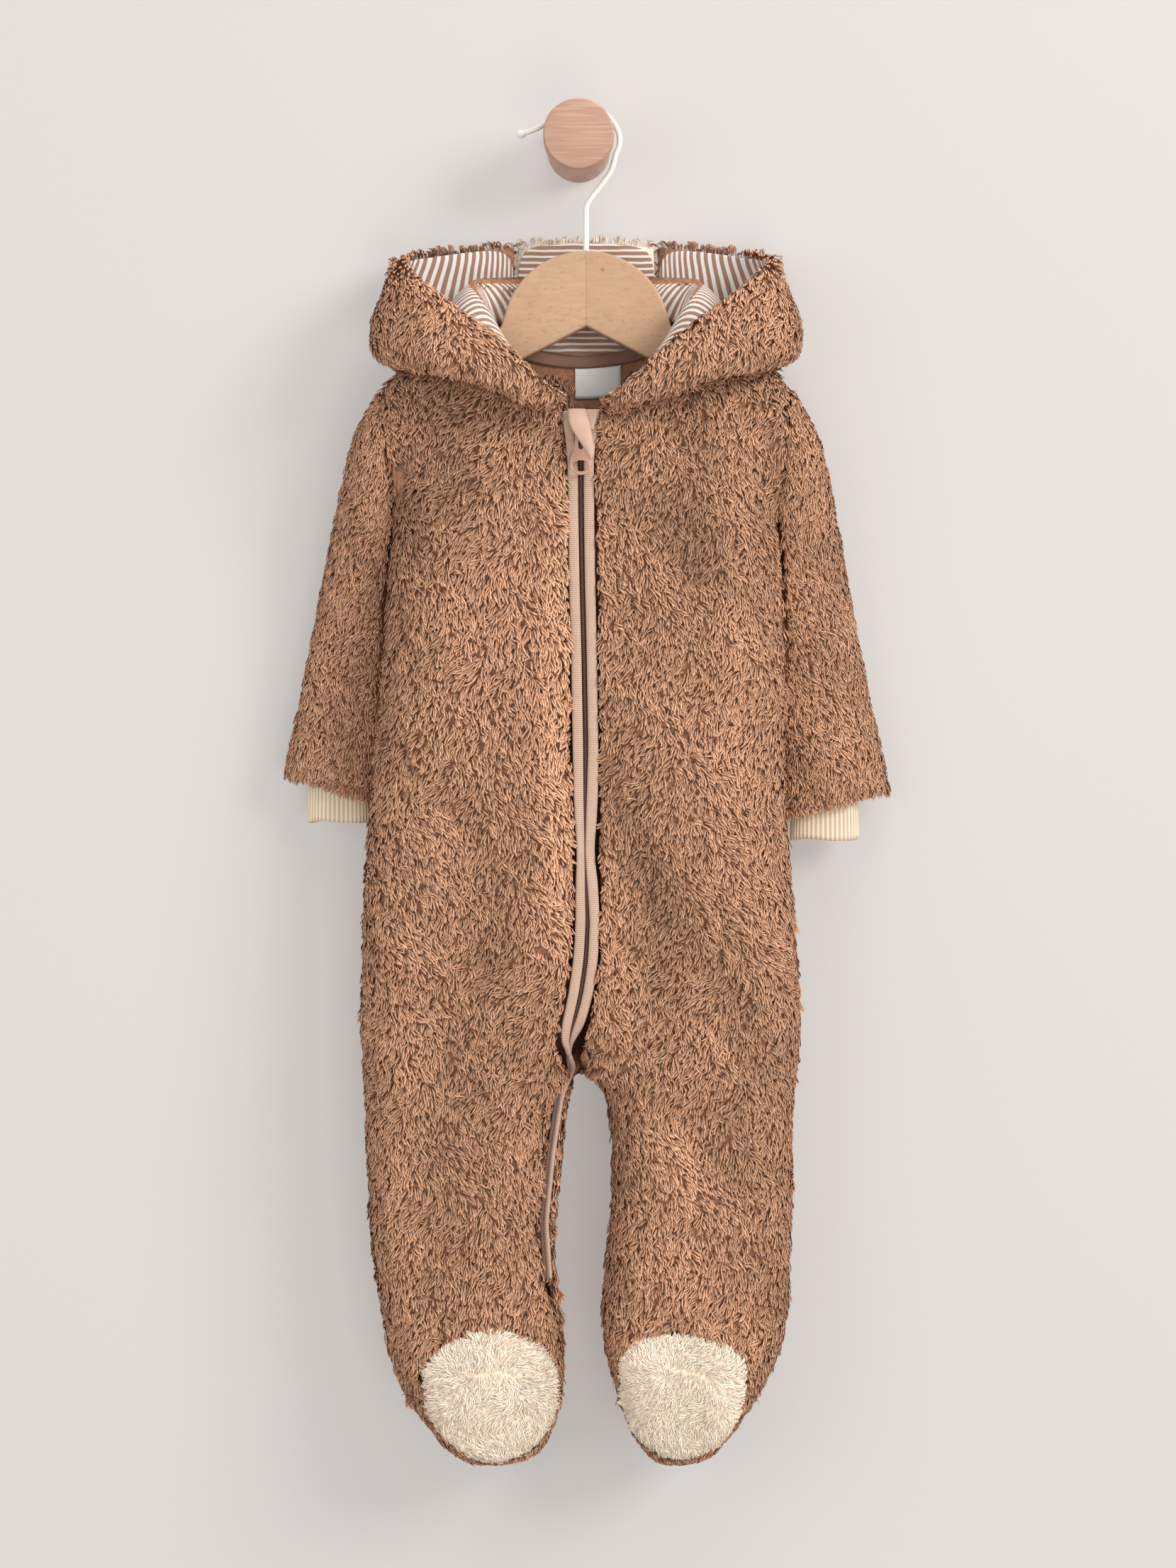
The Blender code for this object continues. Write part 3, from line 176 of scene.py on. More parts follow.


# Broad patches of the front that are lighter or darker, partly brushed pile and partly painted light
# and shade of its folds: their middle, half width and half height in mm, their lean in degrees and how much
# lighter they are.
PATCH_COLUMNS = ("x", "z", "wide", "tall", "lean", "tone")
BRUSHED_AND_PAINTED_PATCHES = (
    (58, -225, 38, 55, 8, -0.34), (-88, -205, 30, 45, -12, -0.26), (70, -470, 16, 85, 32, -0.26),
    (30, -400, 13, 70, 12, -0.24), (-18, -330, 10, 110, 0, 0.22), (-50, -300, 30, 55, 0, 0.14),
    (-52, -470, 12, 70, -18, -0.20), (-82, -600, 14, 90, 0, -0.16), (-112, -560, 12, 110, 0, 0.16),
    (60, -640, 18, 60, 0, 0.16), (88, -330, 14, 60, 0, 0.18), (95, -600, 14, 70, 6, -0.18),
)


# ================================================================ general helpers
def settings():
    return bpy.context.scene.pramsuit


def smooth_step(low, high, value):
    t = np.clip((np.asarray(value, float) - low) / (high - low), 0, 1)
    return t * t * (3 - 2 * t)


def unit(vectors):
    return vectors / np.maximum(np.linalg.norm(vectors, axis=-1, keepdims=True), 1e-9)


def waves(points, seed, wavelength, count=6):
    """A smooth field between about -1 and 1 over points in space."""
    rng = np.random.default_rng(seed)
    total = 0
    for _ in range(count):
        way = unit(rng.normal(size=3))
        k = 2 * math.pi / wavelength * rng.uniform(0.7, 1.4)
        total = total + np.sin(points @ way * k + rng.uniform(0, 2 * math.pi))
    return total / math.sqrt(count / 2) * 0.6


def new_object(name, mesh, finish, nodes=(), body=SUIT):
    """A finished piece: its material, the body it rides on and the nodes that it stands for."""
    obj = bpy.data.objects.new(name, mesh)
    bpy.context.scene.collection.objects.link(obj)
    obj.data.materials.clear()
    obj.data.materials.append(finish)
    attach(obj, body)
    if nodes:
        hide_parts(*nodes)
    return obj


def mesh_from(name, points, faces, smooth=True, **attributes):
    """A mesh from arrays. faces is a list of arrays, each with faces of one number of corners."""
    mesh = bpy.data.meshes.new(name)
    points = np.asarray(points, np.float32)
    loops = np.concatenate([np.asarray(f, np.int32).reshape(-1) for f in faces])
    totals = np.concatenate([np.full(len(f), f.shape[1], np.int32) for f in faces])
    starts = np.concatenate([[0], np.cumsum(totals)[:-1]]).astype(np.int32)
    mesh.vertices.add(len(points))
    mesh.vertices.foreach_set("co", points.reshape(-1))
    mesh.loops.add(len(loops))
    mesh.loops.foreach_set("vertex_index", loops)
    mesh.polygons.add(len(totals))
    mesh.polygons.foreach_set("loop_start", starts)
    mesh.polygons.foreach_set("loop_total", totals)
    mesh.update(calc_edges=True)
    if smooth:
        mesh.shade_smooth()
    for key, values in attributes.items():
        values = np.asarray(values, np.float32)
        kind = "FLOAT_VECTOR" if values.ndim == 2 else "FLOAT"
        made = mesh.attributes.new(key, kind, "POINT")
        made.data.foreach_set("vector" if values.ndim == 2 else "value", values.reshape(-1))
    return mesh


def grid_faces(rows, columns, closed=False):
    """Quads of a grid of points, row after row; closed joins each row's end to its start."""
    r, c = np.meshgrid(np.arange(rows - 1), np.arange(columns if closed else columns - 1), indexing="ij")
    following = (c + 1) % columns
    a, b = r * columns + c, r * columns + following
    return np.stack([a, b, b + columns, a + columns], axis=-1).reshape(-1, 4)


def spline(knots, places):
    """Points at places, counted in knots, on a smooth curve through the rows of knots."""
    knots = np.asarray(knots, float)
    spans = len(knots) - 1
    places = np.clip(np.asarray(places, float), 0, spans)
    i = np.minimum(places.astype(int), spans - 1)
    f = (places - i)[:, None]
    padded = np.vstack([2 * knots[0] - knots[1], knots, 2 * knots[-1] - knots[-2]])
    before, a, b, after = (padded[i + k] for k in range(4))
    return 0.5 * (
        2 * a + (b - before) * f + (2 * before - 5 * a + 4 * b - after) * f**2
        + (3 * a - before - 3 * b + after) * f**3
    )


def bm_of(name):
    bm = bmesh.new()
    bm.from_mesh(NODES[name].data)
    return bm


def merged_copy(name):
    """A bmesh of a CAD node with its doubled corners merged and its triangles paired."""
    bm = bm_of(name)
    bmesh.ops.remove_doubles(bm, verts=bm.verts, dist=0.02 * MM)
    bmesh.ops.join_triangles(
        bm, faces=bm.faces, angle_face_threshold=math.radians(40), angle_shape_threshold=math.radians(60)
    )
    bm.normal_update()
    return bm


def mesh_of(bm, name):
    """A new mesh from a bmesh, which is freed."""
    mesh = bpy.data.meshes.new(name)
    bm.to_mesh(mesh)
    bm.free()
    return mesh


def move_points(mesh, points):
    mesh.vertices.foreach_set("co", points.astype(np.float32).reshape(-1))


def shade_with_edges(mesh, degrees):
    """Shades a mesh smooth but for the edges that bend more."""
    mesh.shade_smooth()
    mesh.set_sharp_from_angle(angle=math.radians(degrees))


def subdivided(bm, name, levels=1):
    """The mesh of bm after subdivision, with creased edges kept."""
    mesh = mesh_of(bm, name)
    guide = bpy.data.objects.new(name + "_guide", mesh)
    bpy.context.scene.collection.objects.link(guide)
    modifier = guide.modifiers.new("finer", "SUBSURF")
    modifier.levels = modifier.render_levels = levels
    graph = bpy.context.evaluated_depsgraph_get()
    made = bpy.data.meshes.new_from_object(guide.evaluated_get(graph))
    made.name = name
    bpy.data.objects.remove(guide, do_unlink=True)
    bpy.data.meshes.remove(mesh)
    return made


def triangle_arrays(mesh):
    """The points of a mesh, the corners of its triangles and the face that each belongs to."""
    points = np.empty(len(mesh.vertices) * 3, np.float32)
    mesh.vertices.foreach_get("co", points)
    mesh.calc_loop_triangles()
    corners = np.empty(len(mesh.loop_triangles) * 3, np.int32)
    mesh.loop_triangles.foreach_get("vertices", corners)
    owners = np.empty(len(mesh.loop_triangles), np.int32)
    mesh.loop_triangles.foreach_get("polygon_index", owners)
    return points.reshape(-1, 3).astype(float), corners.reshape(-1, 3), owners


def outwards(mesh):
    """Turns every face of a closed mesh outwards."""
    bm = bmesh.new()
    bm.from_mesh(mesh)
    bmesh.ops.recalc_face_normals(bm, faces=bm.faces)
    bm.to_mesh(mesh)
    bm.free()


# ================================================================ material helpers
def new_material(name):
    made = bpy.data.materials.new(name)
    made.use_nodes = True
    return made, made.node_tree, made.node_tree.nodes["Principled BSDF"]


def node(tree, kind, **values):
    """A shader node with some of its properties and inputs set."""
    made = tree.nodes.new(kind)
    for key, value in values.items():
        if hasattr(made, key):
            setattr(made, key, value)
        else:
            made.inputs[key.replace("_", " ")].default_value = value
    return made


def finish_with(shader, **values):
    """Sets inputs of a shader by their names, with _ for a space."""
    for key, value in values.items():
        shader.inputs[key.replace("_", " ")].default_value = value


def object_place(tree):
    return tree.nodes.new("ShaderNodeTexCoord").outputs["Object"]


def axes_of(tree, vector):
    """The x, y and z of a vector."""
    made = tree.nodes.new("ShaderNodeSeparateXYZ")
    tree.links.new(vector, made.inputs[0])
    return made.outputs


def math_node(tree, operation, a, b=None, clamp=False):
    made = tree.nodes.new("ShaderNodeMath")
    made.operation = operation
    made.use_clamp = clamp
    for socket, value in zip(made.inputs, (a, b)):
        if value is None:
            continue
        if isinstance(value, (int, float)):
            socket.default_value = value
        else:
            tree.links.new(value, socket)
    return made.outputs[0]


def mix_colour(tree, factor, a, b):
    made = tree.nodes.new("ShaderNodeMix")
    made.data_type = "RGBA"
    sockets = {"Factor": made.inputs[0], "A": made.inputs[6], "B": made.inputs[7]}
    for key, value in (("Factor", factor), ("A", a), ("B", b)):
        if isinstance(value, bpy.types.NodeSocket):
            tree.links.new(value, sockets[key])
        else:
            sockets[key].default_value = value if key == "Factor" else (*value[:3], 1)
    return made.outputs[2]


def attribute(tree, name):
    made = tree.nodes.new("ShaderNodeAttribute")
    made.attribute_name = name
    return made


def ribs_over(tree, value, pitch):
    """A wave over a length, from -1 to 1."""
    return math_node(tree, "SINE", math_node(tree, "MULTIPLY", value, 2 * math.pi / pitch))


def from_zero(tree, wave, share=0.4):
    """A wave between -1 and 1 brought round 0.5."""
    return math_node(tree, "ADD", math_node(tree, "MULTIPLY", wave, share), 0.5)


def bump(tree, shader, height, strength, distance):
    made = node(tree, "ShaderNodeBump", Strength=strength, Distance=distance)
    tree.links.new(height, made.inputs["Height"])
    tree.links.new(made.outputs["Normal"], shader.inputs["Normal"])


def noise(tree, scale, vector=None, detail=2.0, roughness=0.5):
    made = node(tree, "ShaderNodeTexNoise", Scale=scale, Detail=detail, Roughness=roughness)
    tree.links.new(vector or object_place(tree), made.inputs["Vector"])
    return made.outputs["Fac"]


def tone_group():
    """Shared: darkens and lightens a colour by a value, as dye and light do over cloth or wood."""
    found = bpy.data.node_groups.get("Tone")
    if found:
        return found
    group = bpy.data.node_groups.new("Tone", "ShaderNodeTree")
    for name, kind, default in (
        ("Colour", "NodeSocketColor", None),
        ("Value", "NodeSocketFloat", 0.5),
        ("Amount", "NodeSocketFloat", 0.3),
    ):
        socket = group.interface.new_socket(name, in_out="INPUT", socket_type=kind)
        if default is not None:
            socket.default_value = default
    group.interface.new_socket("Colour", in_out="OUTPUT", socket_type="NodeSocketColor")
    start, end = group.nodes.new("NodeGroupInput"), group.nodes.new("NodeGroupOutput")
    centred = math_node(group, "SUBTRACT", start.outputs["Value"], 0.5)
    scaled = math_node(group, "MULTIPLY", centred, start.outputs["Amount"])
    brightness = math_node(group, "ADD", math_node(group, "MULTIPLY", scaled, 2.0), 1.0)
    shade = group.nodes.new("ShaderNodeHueSaturation")
    group.links.new(brightness, shade.inputs["Value"])
    group.links.new(start.outputs["Colour"], shade.inputs["Color"])
    group.links.new(shade.outputs["Color"], end.inputs["Colour"])
    return group


def toned(tree, colour_value, value, amount):
    made = tree.nodes.new("ShaderNodeGroup")
    made.node_tree = tone_group()
    if isinstance(colour_value, bpy.types.NodeSocket):
        tree.links.new(colour_value, made.inputs["Colour"])
    else:
        made.inputs["Colour"].default_value = (*colour_value[:3], 1)
    tree.links.new(value, made.inputs["Value"])
    made.inputs["Amount"].default_value = amount
    return made.outputs["Colour"]


# ================================================================ fleece
def outer_faces(bm, toward, lining=None):
    """The faces that the pile stands on: the outer side and the rims round it. On the hood they
    are all that the lining doesn't cover."""
    if lining is not None:
        return {
            f for f in bm.faces
            if lining.ray_cast(f.calc_center_median() - f.normal * 0.1 * MM, f.normal, 2.6 * MM)[0] is None
        }
    toward = Vector(toward)
    start = max(bm.faces, key=lambda f: f.calc_center_median().dot(toward) + 0.01 * f.normal.dot(toward))
    found, barred = {start}, set()
    bm.faces.index_update()
    bm.faces.ensure_lookup_table()
    own = BVHTree.FromBMesh(bm)
    for bend in (25, 52):  # first the smooth middle, then over the creases but not round the rims
        if bend == 52:
            reached = {face.index for face in found}
            for face in bm.faces:
                hit = own.ray_cast(face.calc_center_median() - face.normal * 0.1 * MM, -face.normal, 9 * MM)
                if face not in found and hit[2] in reached:
                    barred.add(face)
        waiting = list(found)
        while waiting:
            face = waiting.pop()
            for edge in face.edges:
                for other in edge.link_faces:
                    if other in found or other in barred:
                        continue
                    if face.normal.dot(other.normal) > math.cos(math.radians(bend)):
                        found.add(other)
                        waiting.append(other)
    return found | {other for face in found for edge in face.edges for other in edge.link_faces}


def brushed_and_painted_tone(points):
    """How much lighter or darker the pile of the front is: partly where it is brushed, partly painted light
    and shade of its folds.
    """
    flat = (points[:, [0, 2]] - [SUIT_X, 0]) / MM
    total = np.zeros(len(points))
    for patch in BRUSHED_AND_PAINTED_PATCHES:
        row = dict(zip(PATCH_COLUMNS, patch))
        x, z = (flat - [row["x"], row["z"]]).T
        turn = math.radians(row["lean"])
        a = (x * math.cos(turn) + z * math.sin(turn)) / row["wide"]
        b = (z * math.cos(turn) - x * math.sin(turn)) / row["tall"]
        total += row["tone"] * np.exp(-(a * a + b * b))
    return total


def creased(points, normals):
    """How far the fine creases move each point of the front outwards."""
    flat = (points[:, [0, 2]] - [SUIT_X, 0]) / MM
    total = np.zeros(len(points))
    for crease in CREASES:
        row = dict(zip(CREASE_COLUMNS, crease))
        start = np.array([row["x0"], row["z0"]], float)
        run = np.array([row["x1"], row["z1"]], float) - start
        along = np.clip((flat - start) @ run / (run @ run), 0, 1)
        away = np.linalg.norm(flat - (start + along[:, None] * run), axis=1)
        total += row["height"] * np.exp(-((away / row["width"]) ** 2)) * np.sin(math.pi * (0.1 + 0.8 * along))
    return total * MM * smooth_step(0.15, 0.6, -normals[:, 1])


def reach_the_side(points, tips, normals, used, sign):
    """Lets the inner side of a sleeve swell out until its pile lies against the suit's side."""
    sides = [BVHTree.FromBMesh(bm_of(n)) for n in ("back", "front_left" if sign > 0 else "front_right")]
    inward = Vector((-sign, 0, 0))
    for i in used:
        facing = smooth_step(-0.1, 0.7, -sign * normals[i, 0])
        level = smooth_step(-0.385, -0.335, points[i, 2])
        if facing * level == 0:
            continue
        hits = [tree.ray_cast(Vector(points[i]), inward, 14 * MM)[3] for tree in sides]
        room = min([h for h in hits if h is not None], default=0)
        tips[i, 0] -= sign * facing * level * max(room - 0.6 * MM, 0)


def surface_normals(points, corners):
    """The way the surface faces at each point, as the mean of its triangles by their area."""
    faces = points[corners]
    crosses = np.cross(faces[:, 1] - faces[:, 0], faces[:, 2] - faces[:, 0])
    normals = np.zeros_like(points)
    for k in range(3):
        np.add.at(normals, corners[:, k], crosses)
    return unit(normals)


def pile_depths(name, points, normals, above, below):
    """How far the backing lies under the tips: the pile's height, or less where the solid is thin."""
    used, depth = np.unique(above), np.zeros(len(points))
    rim = np.intersect1d(used, np.unique(below))
    at_rim = set(rim.tolist())
    under = BVHTree.FromPolygons(points.tolist(), below.tolist())
    start = 0.2 * MM
    height = settings().pile.height * (CAP_PILE if name.startswith("toe_cap") else 1)
    for i in used:
        hit = under.ray_cast(Vector(points[i] - normals[i] * start), Vector(-normals[i]), 12 * MM)
        thick = start + hit[3] if hit[0] is not None and i not in at_rim else WALL
        depth[i] = min(height, 0.62 * thick)
    depth[rim] = np.minimum(depth[rim], RIM_PILE)
    return depth


def shaped_tips(entry, points, normals, used):
    """Where the tips of the pile lie: the solid's surface with its fine creases, hem and swelling."""
    name, tips = entry["node"], points.copy()
    if name in ("front_right", "front_left"):
        tips[used] += normals[used] * creased(points, normals)[used, None]
    if name in SLEEVES:
        reach_the_side(points, tips, normals, used, SLEEVES[name])
        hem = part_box(name)[0].z
        roll = 1 - smooth_step(hem + 5 * MM, hem + 15 * MM, points[used, 2])
        tips[used] += normals[used] * (HEM_ROLL * roll)[:, None] * [1, 1, 0]
    if name.startswith("toe_cap"):
        tips = rounded_out(points, used)
    return tips


def build_backing(entry):
    """The thin cloth under the pile of one piece, and the surface on which its locks stand."""
    name = entry["node"]
    lining = None
    if name in HOOD_LINING:
        lined = merged_copy(HOOD_LINING[name])
        lining = BVHTree.FromBMesh(lined)
        lined.free()
    bm = merged_copy(name)
    outer = outer_faces(bm, entry["toward"], lining)
    crease = bm.edges.layers.float.new("crease_edge")
    for face in bm.faces:
        face.material_index = 1 if face in outer else 0
    for edge in bm.edges:
        sides = {f in outer for f in edge.link_faces}
        sharp = len(edge.link_faces) == 2 and edge.calc_face_angle() > math.radians(50)
        edge[crease] = 1.0 if len(sides) == 2 or (sharp and sides == {False}) else 0.6 * sharp
    mesh = subdivided(bm, name + "_backing")
    points, corners, owners = triangle_arrays(mesh)
    slots = np.empty(len(mesh.polygons), np.int32)
    mesh.polygons.foreach_get("material_index", slots)
    above, below = corners[slots[owners] == 1], corners[slots[owners] == 0]
    used = np.unique(above)
    normals = surface_normals(points, above)
    depth = pile_depths(name, points, normals, above, below)
    tips = shaped_tips(entry, points, normals, used)
    lowered = points.copy()
    lowered[used] = tips[used] - normals[used] * depth[used, None]
    move_points(mesh, lowered)
    mesh.polygons.foreach_set("material_index", np.zeros(len(slots), np.int32))
    mesh.update()
    mesh.shade_smooth()
    return mesh, {"points": tips, "normals": normals, "depth": depth, "faces": above}


def rounded_out(points, used):
    """A toe cap's points moved out to the circle that its cloth is cut as."""
    low, high = points[used].min(axis=0), points[used].max(axis=0)
    from_middle = (points - (low + high) / 2) * [1, 0, 1]
    size = np.linalg.norm(from_middle, axis=1)
    turn = np.degrees(np.arctan2(from_middle[:, 0], from_middle[:, 2]))
    ways = np.arange(-180, 181, 20)
    apart = np.abs((turn[used] - ways[:, None] + 180) % 360 - 180)
    reach = np.where(apart < 12, size[used], 0).max(axis=1)
    circle = (high - low)[[0, 2]].max() / 2
    grown = np.clip(circle / np.interp(turn, ways, reach), 1, 1.2) - 1
    return points + from_middle * (grown * smooth_step(0.3, 0.9, size / circle))[:, None]


def scatter(surface, per_square_metre, seed):
    """Even places on a surface: for each, its point, normal and pile depth."""
    rng = np.random.default_rng(seed)
    faces = surface["faces"]
    a, b, c = (surface["points"][faces[:, k]] for k in range(3))
    areas = np.linalg.norm(np.cross(b - a, c - a), axis=1) / 2
    tries = int(areas.sum() * per_square_metre * 2.6)
    owner = rng.choice(len(faces), tries, p=areas / areas.sum())
    u, v = rng.uniform(0, 1, (2, tries))
    over = u + v > 1
    u[over], v[over] = 1 - u[over], 1 - v[over]
    weights = np.stack([1 - u - v, u, v], axis=1)

    def read(values):
        return np.einsum("nk,nkd->nd", weights, values[faces[owner]])

    point = read(surface["points"])
    kept = spaced(point, 0.755 / math.sqrt(per_square_metre))
    return {
        "point": point[kept],
        "normal": unit(read(surface["normals"]))[kept],
        "depth": read(surface["depth"][:, None])[kept, 0],
    }


def chosen(places, keep):
    return {key: value[keep] for key, value in places.items()}


def spaced(points, distance):
    """The first of the points that keep the distance from each other."""
    cells = {}
    around = [(i, j, k) for i in (-1, 0, 1) for j in (-1, 0, 1) for k in (-1, 0, 1)]
    kept = []
    places = np.floor(points / distance).astype(int).tolist()
    for index, (point, (i, j, k)) in enumerate(zip(points.tolist(), places)):
        x, y, z = point
        free = True
        for di, dj, dk in around:
            other = cells.get((i + di, j + dj, k + dk))
            if other and (other[0] - x) ** 2 + (other[1] - y) ** 2 + (other[2] - z) ** 2 < distance ** 2:
                free = False
                break
        if free:
            cells[(i, j, k)] = point
            kept.append(index)
    return np.array(kept)


# A lock from its root to its tip: how high, how far along and sideways, its width, how far it
# keeps from the middle of its tuft, how light it is (painted shade, darkest at the root) and how far its face
# leans along the lock.
LOCK_COLUMNS = ("up", "along", "sideways", "width", "spread", "light", "lean")
LOCK_STATIONS = (
    (0.05, -0.10, 0.00, 0.00, 1.00, 0.0, -0.6),
    (0.80, 0.14, 0.10, 1.00, 1.05, 0.45, -0.35),
    (1.00, 0.72, 0.66, 0.90, 0.85, 0.95, 0.15),
    (0.84, 1.00, 1.10, 0.00, 0.60, 1.0, 0.6),
)
LOCKS = 4  # to a tuft
CORNERS = 6  # of a lock
LOCK_TRIANGLES = 4
MOST_TRIANGLES = 195000  # in one joined mesh
PER_CM2 = 1e4  # from a number to the square centimetre to one to the square metre


def nap(point, normal, sleeve, cap):
    """The way the pile lies: downwards, on the sleeves a little outwards too, and on a toe cap
    from its middle to its edge."""
    down = np.array([0.0, 0.0, -1.0]) + 0.35 * normal
    if cap:
        from_middle = point - (point.min(axis=0) + point.max(axis=0)) / 2
        size = np.linalg.norm(from_middle, axis=1, keepdims=True)
        share = smooth_step(0.3, 0.8, size / size.max())
        down = down * (1 - share) * 0.5 + unit(from_middle) * share
    if sleeve:
        down = down + np.array([0.28 * sleeve, 0, 0])
    flow = down - normal * np.sum(down * normal, axis=1, keepdims=True)
    spare = np.array([0.0, 1.0, 0.0]) - normal * normal[:, 1:2]
    weak = np.linalg.norm(flow, axis=1, keepdims=True) < 0.25
    return unit(np.where(weak, spare, flow))


def brushed(point):
    """Where the pile beside the zip is brushed out, soft and pale, from 0 to 1."""
    beside = (SUIT_X + 0.002 - point[:, 0]) / MM
    strip = smooth_step(9, 13, beside) * (1 - smooth_step(20, 32, beside))
    return strip * smooth_step(-0.52, -0.44, point[:, 2]) * (1 - smooth_step(-0.25, -0.19, point[:, 2]))


def lock_corners(tuft, lock, radius):
    """The corners of every lock, the way it faces there and how light it is painted there, with
    painted shade towards its root. tuft has a row for each tuft; lock has a row for each tuft and a
    column for each of its locks."""
    n, w, s, root = (tuft[key][:, None, :] for key in ("normal", "way", "side", "root"))
    fan = lock["fan"]
    own_way = w * np.cos(lock["turn"])[..., None] + s * np.sin(lock["turn"])[..., None]
    own_side = np.cross(n, own_way)
    flat = own_side * np.cos(0.45 * fan)[..., None] - n * np.sin(0.45 * fan)[..., None]
    away = s * np.sin(fan)[..., None] + n * (0.6 * (np.cos(fan) - 1))[..., None]
    long = (tuft["long"][:, None] * lock["long"])[..., None]
    bend = (tuft["long"] * tuft["curl"])[:, None, None]
    points, facing, light = [], [], []
    for station in LOCK_STATIONS:
        at = dict(zip(LOCK_COLUMNS, station))
        centre = (
            root + n * (tuft["tall"] * at["up"])[:, None, None]
            + own_way * (at["along"] + lock["start"])[..., None] * long
            + own_side * bend * at["sideways"] + away * radius * at["spread"]
        )
        half = flat * (lock["wide"] * at["width"])[..., None]
        face = n + own_way * at["lean"] + 0 * centre
        if at["width"]:
            points.append(np.stack([centre - half, centre + half], axis=2))
            facing.append(np.stack([face - 0.7 * own_side, face + 0.7 * own_side], axis=2))
        else:
            points.append(centre[:, :, None])
            facing.append(face[:, :, None])
        light.append(np.full(points[-1].shape[:3], at["light"]))
    return tuple(np.concatenate(found, axis=2) for found in (points, facing, light))


def tuft_arrays(places, entry, seed):
    """Tufts of four curled locks, each a leaf of six corners, with what their material reads."""
    rng = np.random.default_rng(seed)
    pile, name = settings().pile, entry["node"]
    point, normal, depth = places["point"], places["normal"], places["depth"]
    count = len(point)
    flow = nap(point, normal, SLEEVES.get(name, 0), name.startswith("toe_cap"))
    across = np.cross(normal, flow)
    swirl = waves(point, 11, 0.085) + 0.7 * waves(point, 12, 0.030)
    turn = pile.swirl * entry["swirl"] * swirl + pile.stray * rng.normal(size=count)
    way = flow * np.cos(turn)[:, None] + across * np.sin(turn)[:, None]
    soft = brushed(point) if name == "front_right" else np.zeros(count)
    # broad: the patches of brushed pile and of painted light and shade along the folds
    broad = brushed_and_painted_tone(point) if name in ("front_right", "front_left") else 0 * depth
    lumps = 0.6 * waves(point, 13, 0.014) + 0.6 * waves(point, 14, 0.007)
    long = pile.lock_length * entry["lock"] * rng.uniform(0.75, 1.25, count) * (1 + 0.12 * lumps)
    long = np.minimum(long, np.maximum(1.1 * places["room"] + 1.3 * MM, 0.5 * long))
    tall = depth * np.clip(0.88 + 0.22 * lumps + 0.12 * rng.normal(size=count), 0.45, 1.15)
    if name in HOOD_LINING:  # a fluffy fringe stands on the upper edge of the hood
        edge = smooth_step(0.3, 0.75, normal[:, 2]) * smooth_step(*FRINGE_FOOT, point[:, 2])
        tall = tall + edge * rng.uniform(*FRINGE, count) * MM
        long = long * (1 - 0.35 * edge)
    tuft = {
        "normal": normal, "way": way, "side": np.cross(normal, way), "root": point - normal * depth[:, None],
        "long": long, "tall": tall, "curl": rng.normal(0, 0.22, count) * (1 - 0.6 * soft),
    }
    each = (count, LOCKS)
    lock = {
        "fan": np.array([-1.0, -0.33, 0.33, 1.0]) + rng.normal(0, 0.16, each),
        "turn": rng.normal(0, 0.15, each),
        "long": rng.uniform(0.78, 1.18, each),
        "start": rng.normal(0, 0.16, each),
        "wide": pile.lock_width * entry["lock"] * rng.uniform(0.75, 1.25, each) / 2,
    }
    points, facing, light = lock_corners(tuft, lock, pile.tuft_radius * entry["lock"])
    light = light.reshape(-1)
    tone = 0.5 + 0.08 * rng.normal(size=(count, 1)) + 0.08 * rng.normal(size=each)
    # lumps: lighter where the pile stands taller and darker in its hollows, as painted shade
    drift = 0.10 * waves(point, 15, 0.045) + 0.07 * lumps + 0.30 * soft + broad
    tone = np.clip(tone + drift[:, None], 0, 1)
    locks = count * LOCKS
    across_lock = np.tile([0.5, 0, 1, 0, 1, 0.5], locks)
    strand = np.stack([across_lock, light, np.repeat(rng.uniform(0, 50, locks), CORNERS)], axis=1)
    return {
        "points": points.reshape(-1, 3), "facing": unit(facing.reshape(-1, 3)),
        # rise: how light each corner is painted, from the shade at a lock's root to its tip
        "rise": light, "tone": np.repeat(tone.reshape(-1), CORNERS), "strand": strand,
    }


def fleece_material(name, tip, root, glow=0.0):
    """Rounded locks of fine strands, with painted shade at the roots and along the edges where they meet each
    other, pale at the tips.
    """
    made, tree, shader = new_material(name)
    rise = attribute(tree, "rise").outputs["Fac"]
    tone = attribute(tree, "tone").outputs["Fac"]
    strand = attribute(tree, "strand").outputs["Vector"]
    across_lock = axes_of(tree, strand)[0]
    stretched = node(tree, "ShaderNodeVectorMath", operation="MULTIPLY")
    stretched.inputs[1].default_value = (4.0, 0.7, 1.0)
    tree.links.new(strand, stretched.inputs[0])
    fine = noise(tree, 1.5, stretched.outputs[0], detail=2)
    off = math_node(tree, "SUBTRACT", math_node(tree, "MULTIPLY", across_lock, 2.0), 1.0)
    round_part = math_node(tree, "SUBTRACT", 1.0, math_node(tree, "MULTIPLY", off, off))
    # painted shade: from the roots' colour low on each lock to the tips' colour high on it, and halfway back
    # towards the roots' colour along each lock's edges
    climb = math_node(tree, "POWER", rise, 1.5, clamp=True)
    shaded = math_node(tree, "MULTIPLY", climb, from_zero(tree, round_part, 0.5))
    base = mix_colour(tree, shaded, root, tip)
    base = toned(tree, base, tone, 0.45)
    base = toned(tree, base, fine, 0.30)
    tree.links.new(base, shader.inputs["Base Color"])
    tree.links.new(base, shader.inputs["Emission Color"])
    finish_with(
        shader, Roughness=0.8, Specular_IOR_Level=0.3, Sheen_Weight=0.25, Sheen_Roughness=0.4,
        Sheen_Tint=(*tip, 1), Emission_Strength=glow,  # painted glow: a pale pile gives off some of its own colour, for the light that passes on inside it
    )
    height = math_node(tree, "ADD", round_part, math_node(tree, "MULTIPLY", fine, 0.35))
    bump(tree, shader, height, 0.8, 0.45 * MM)
    return made


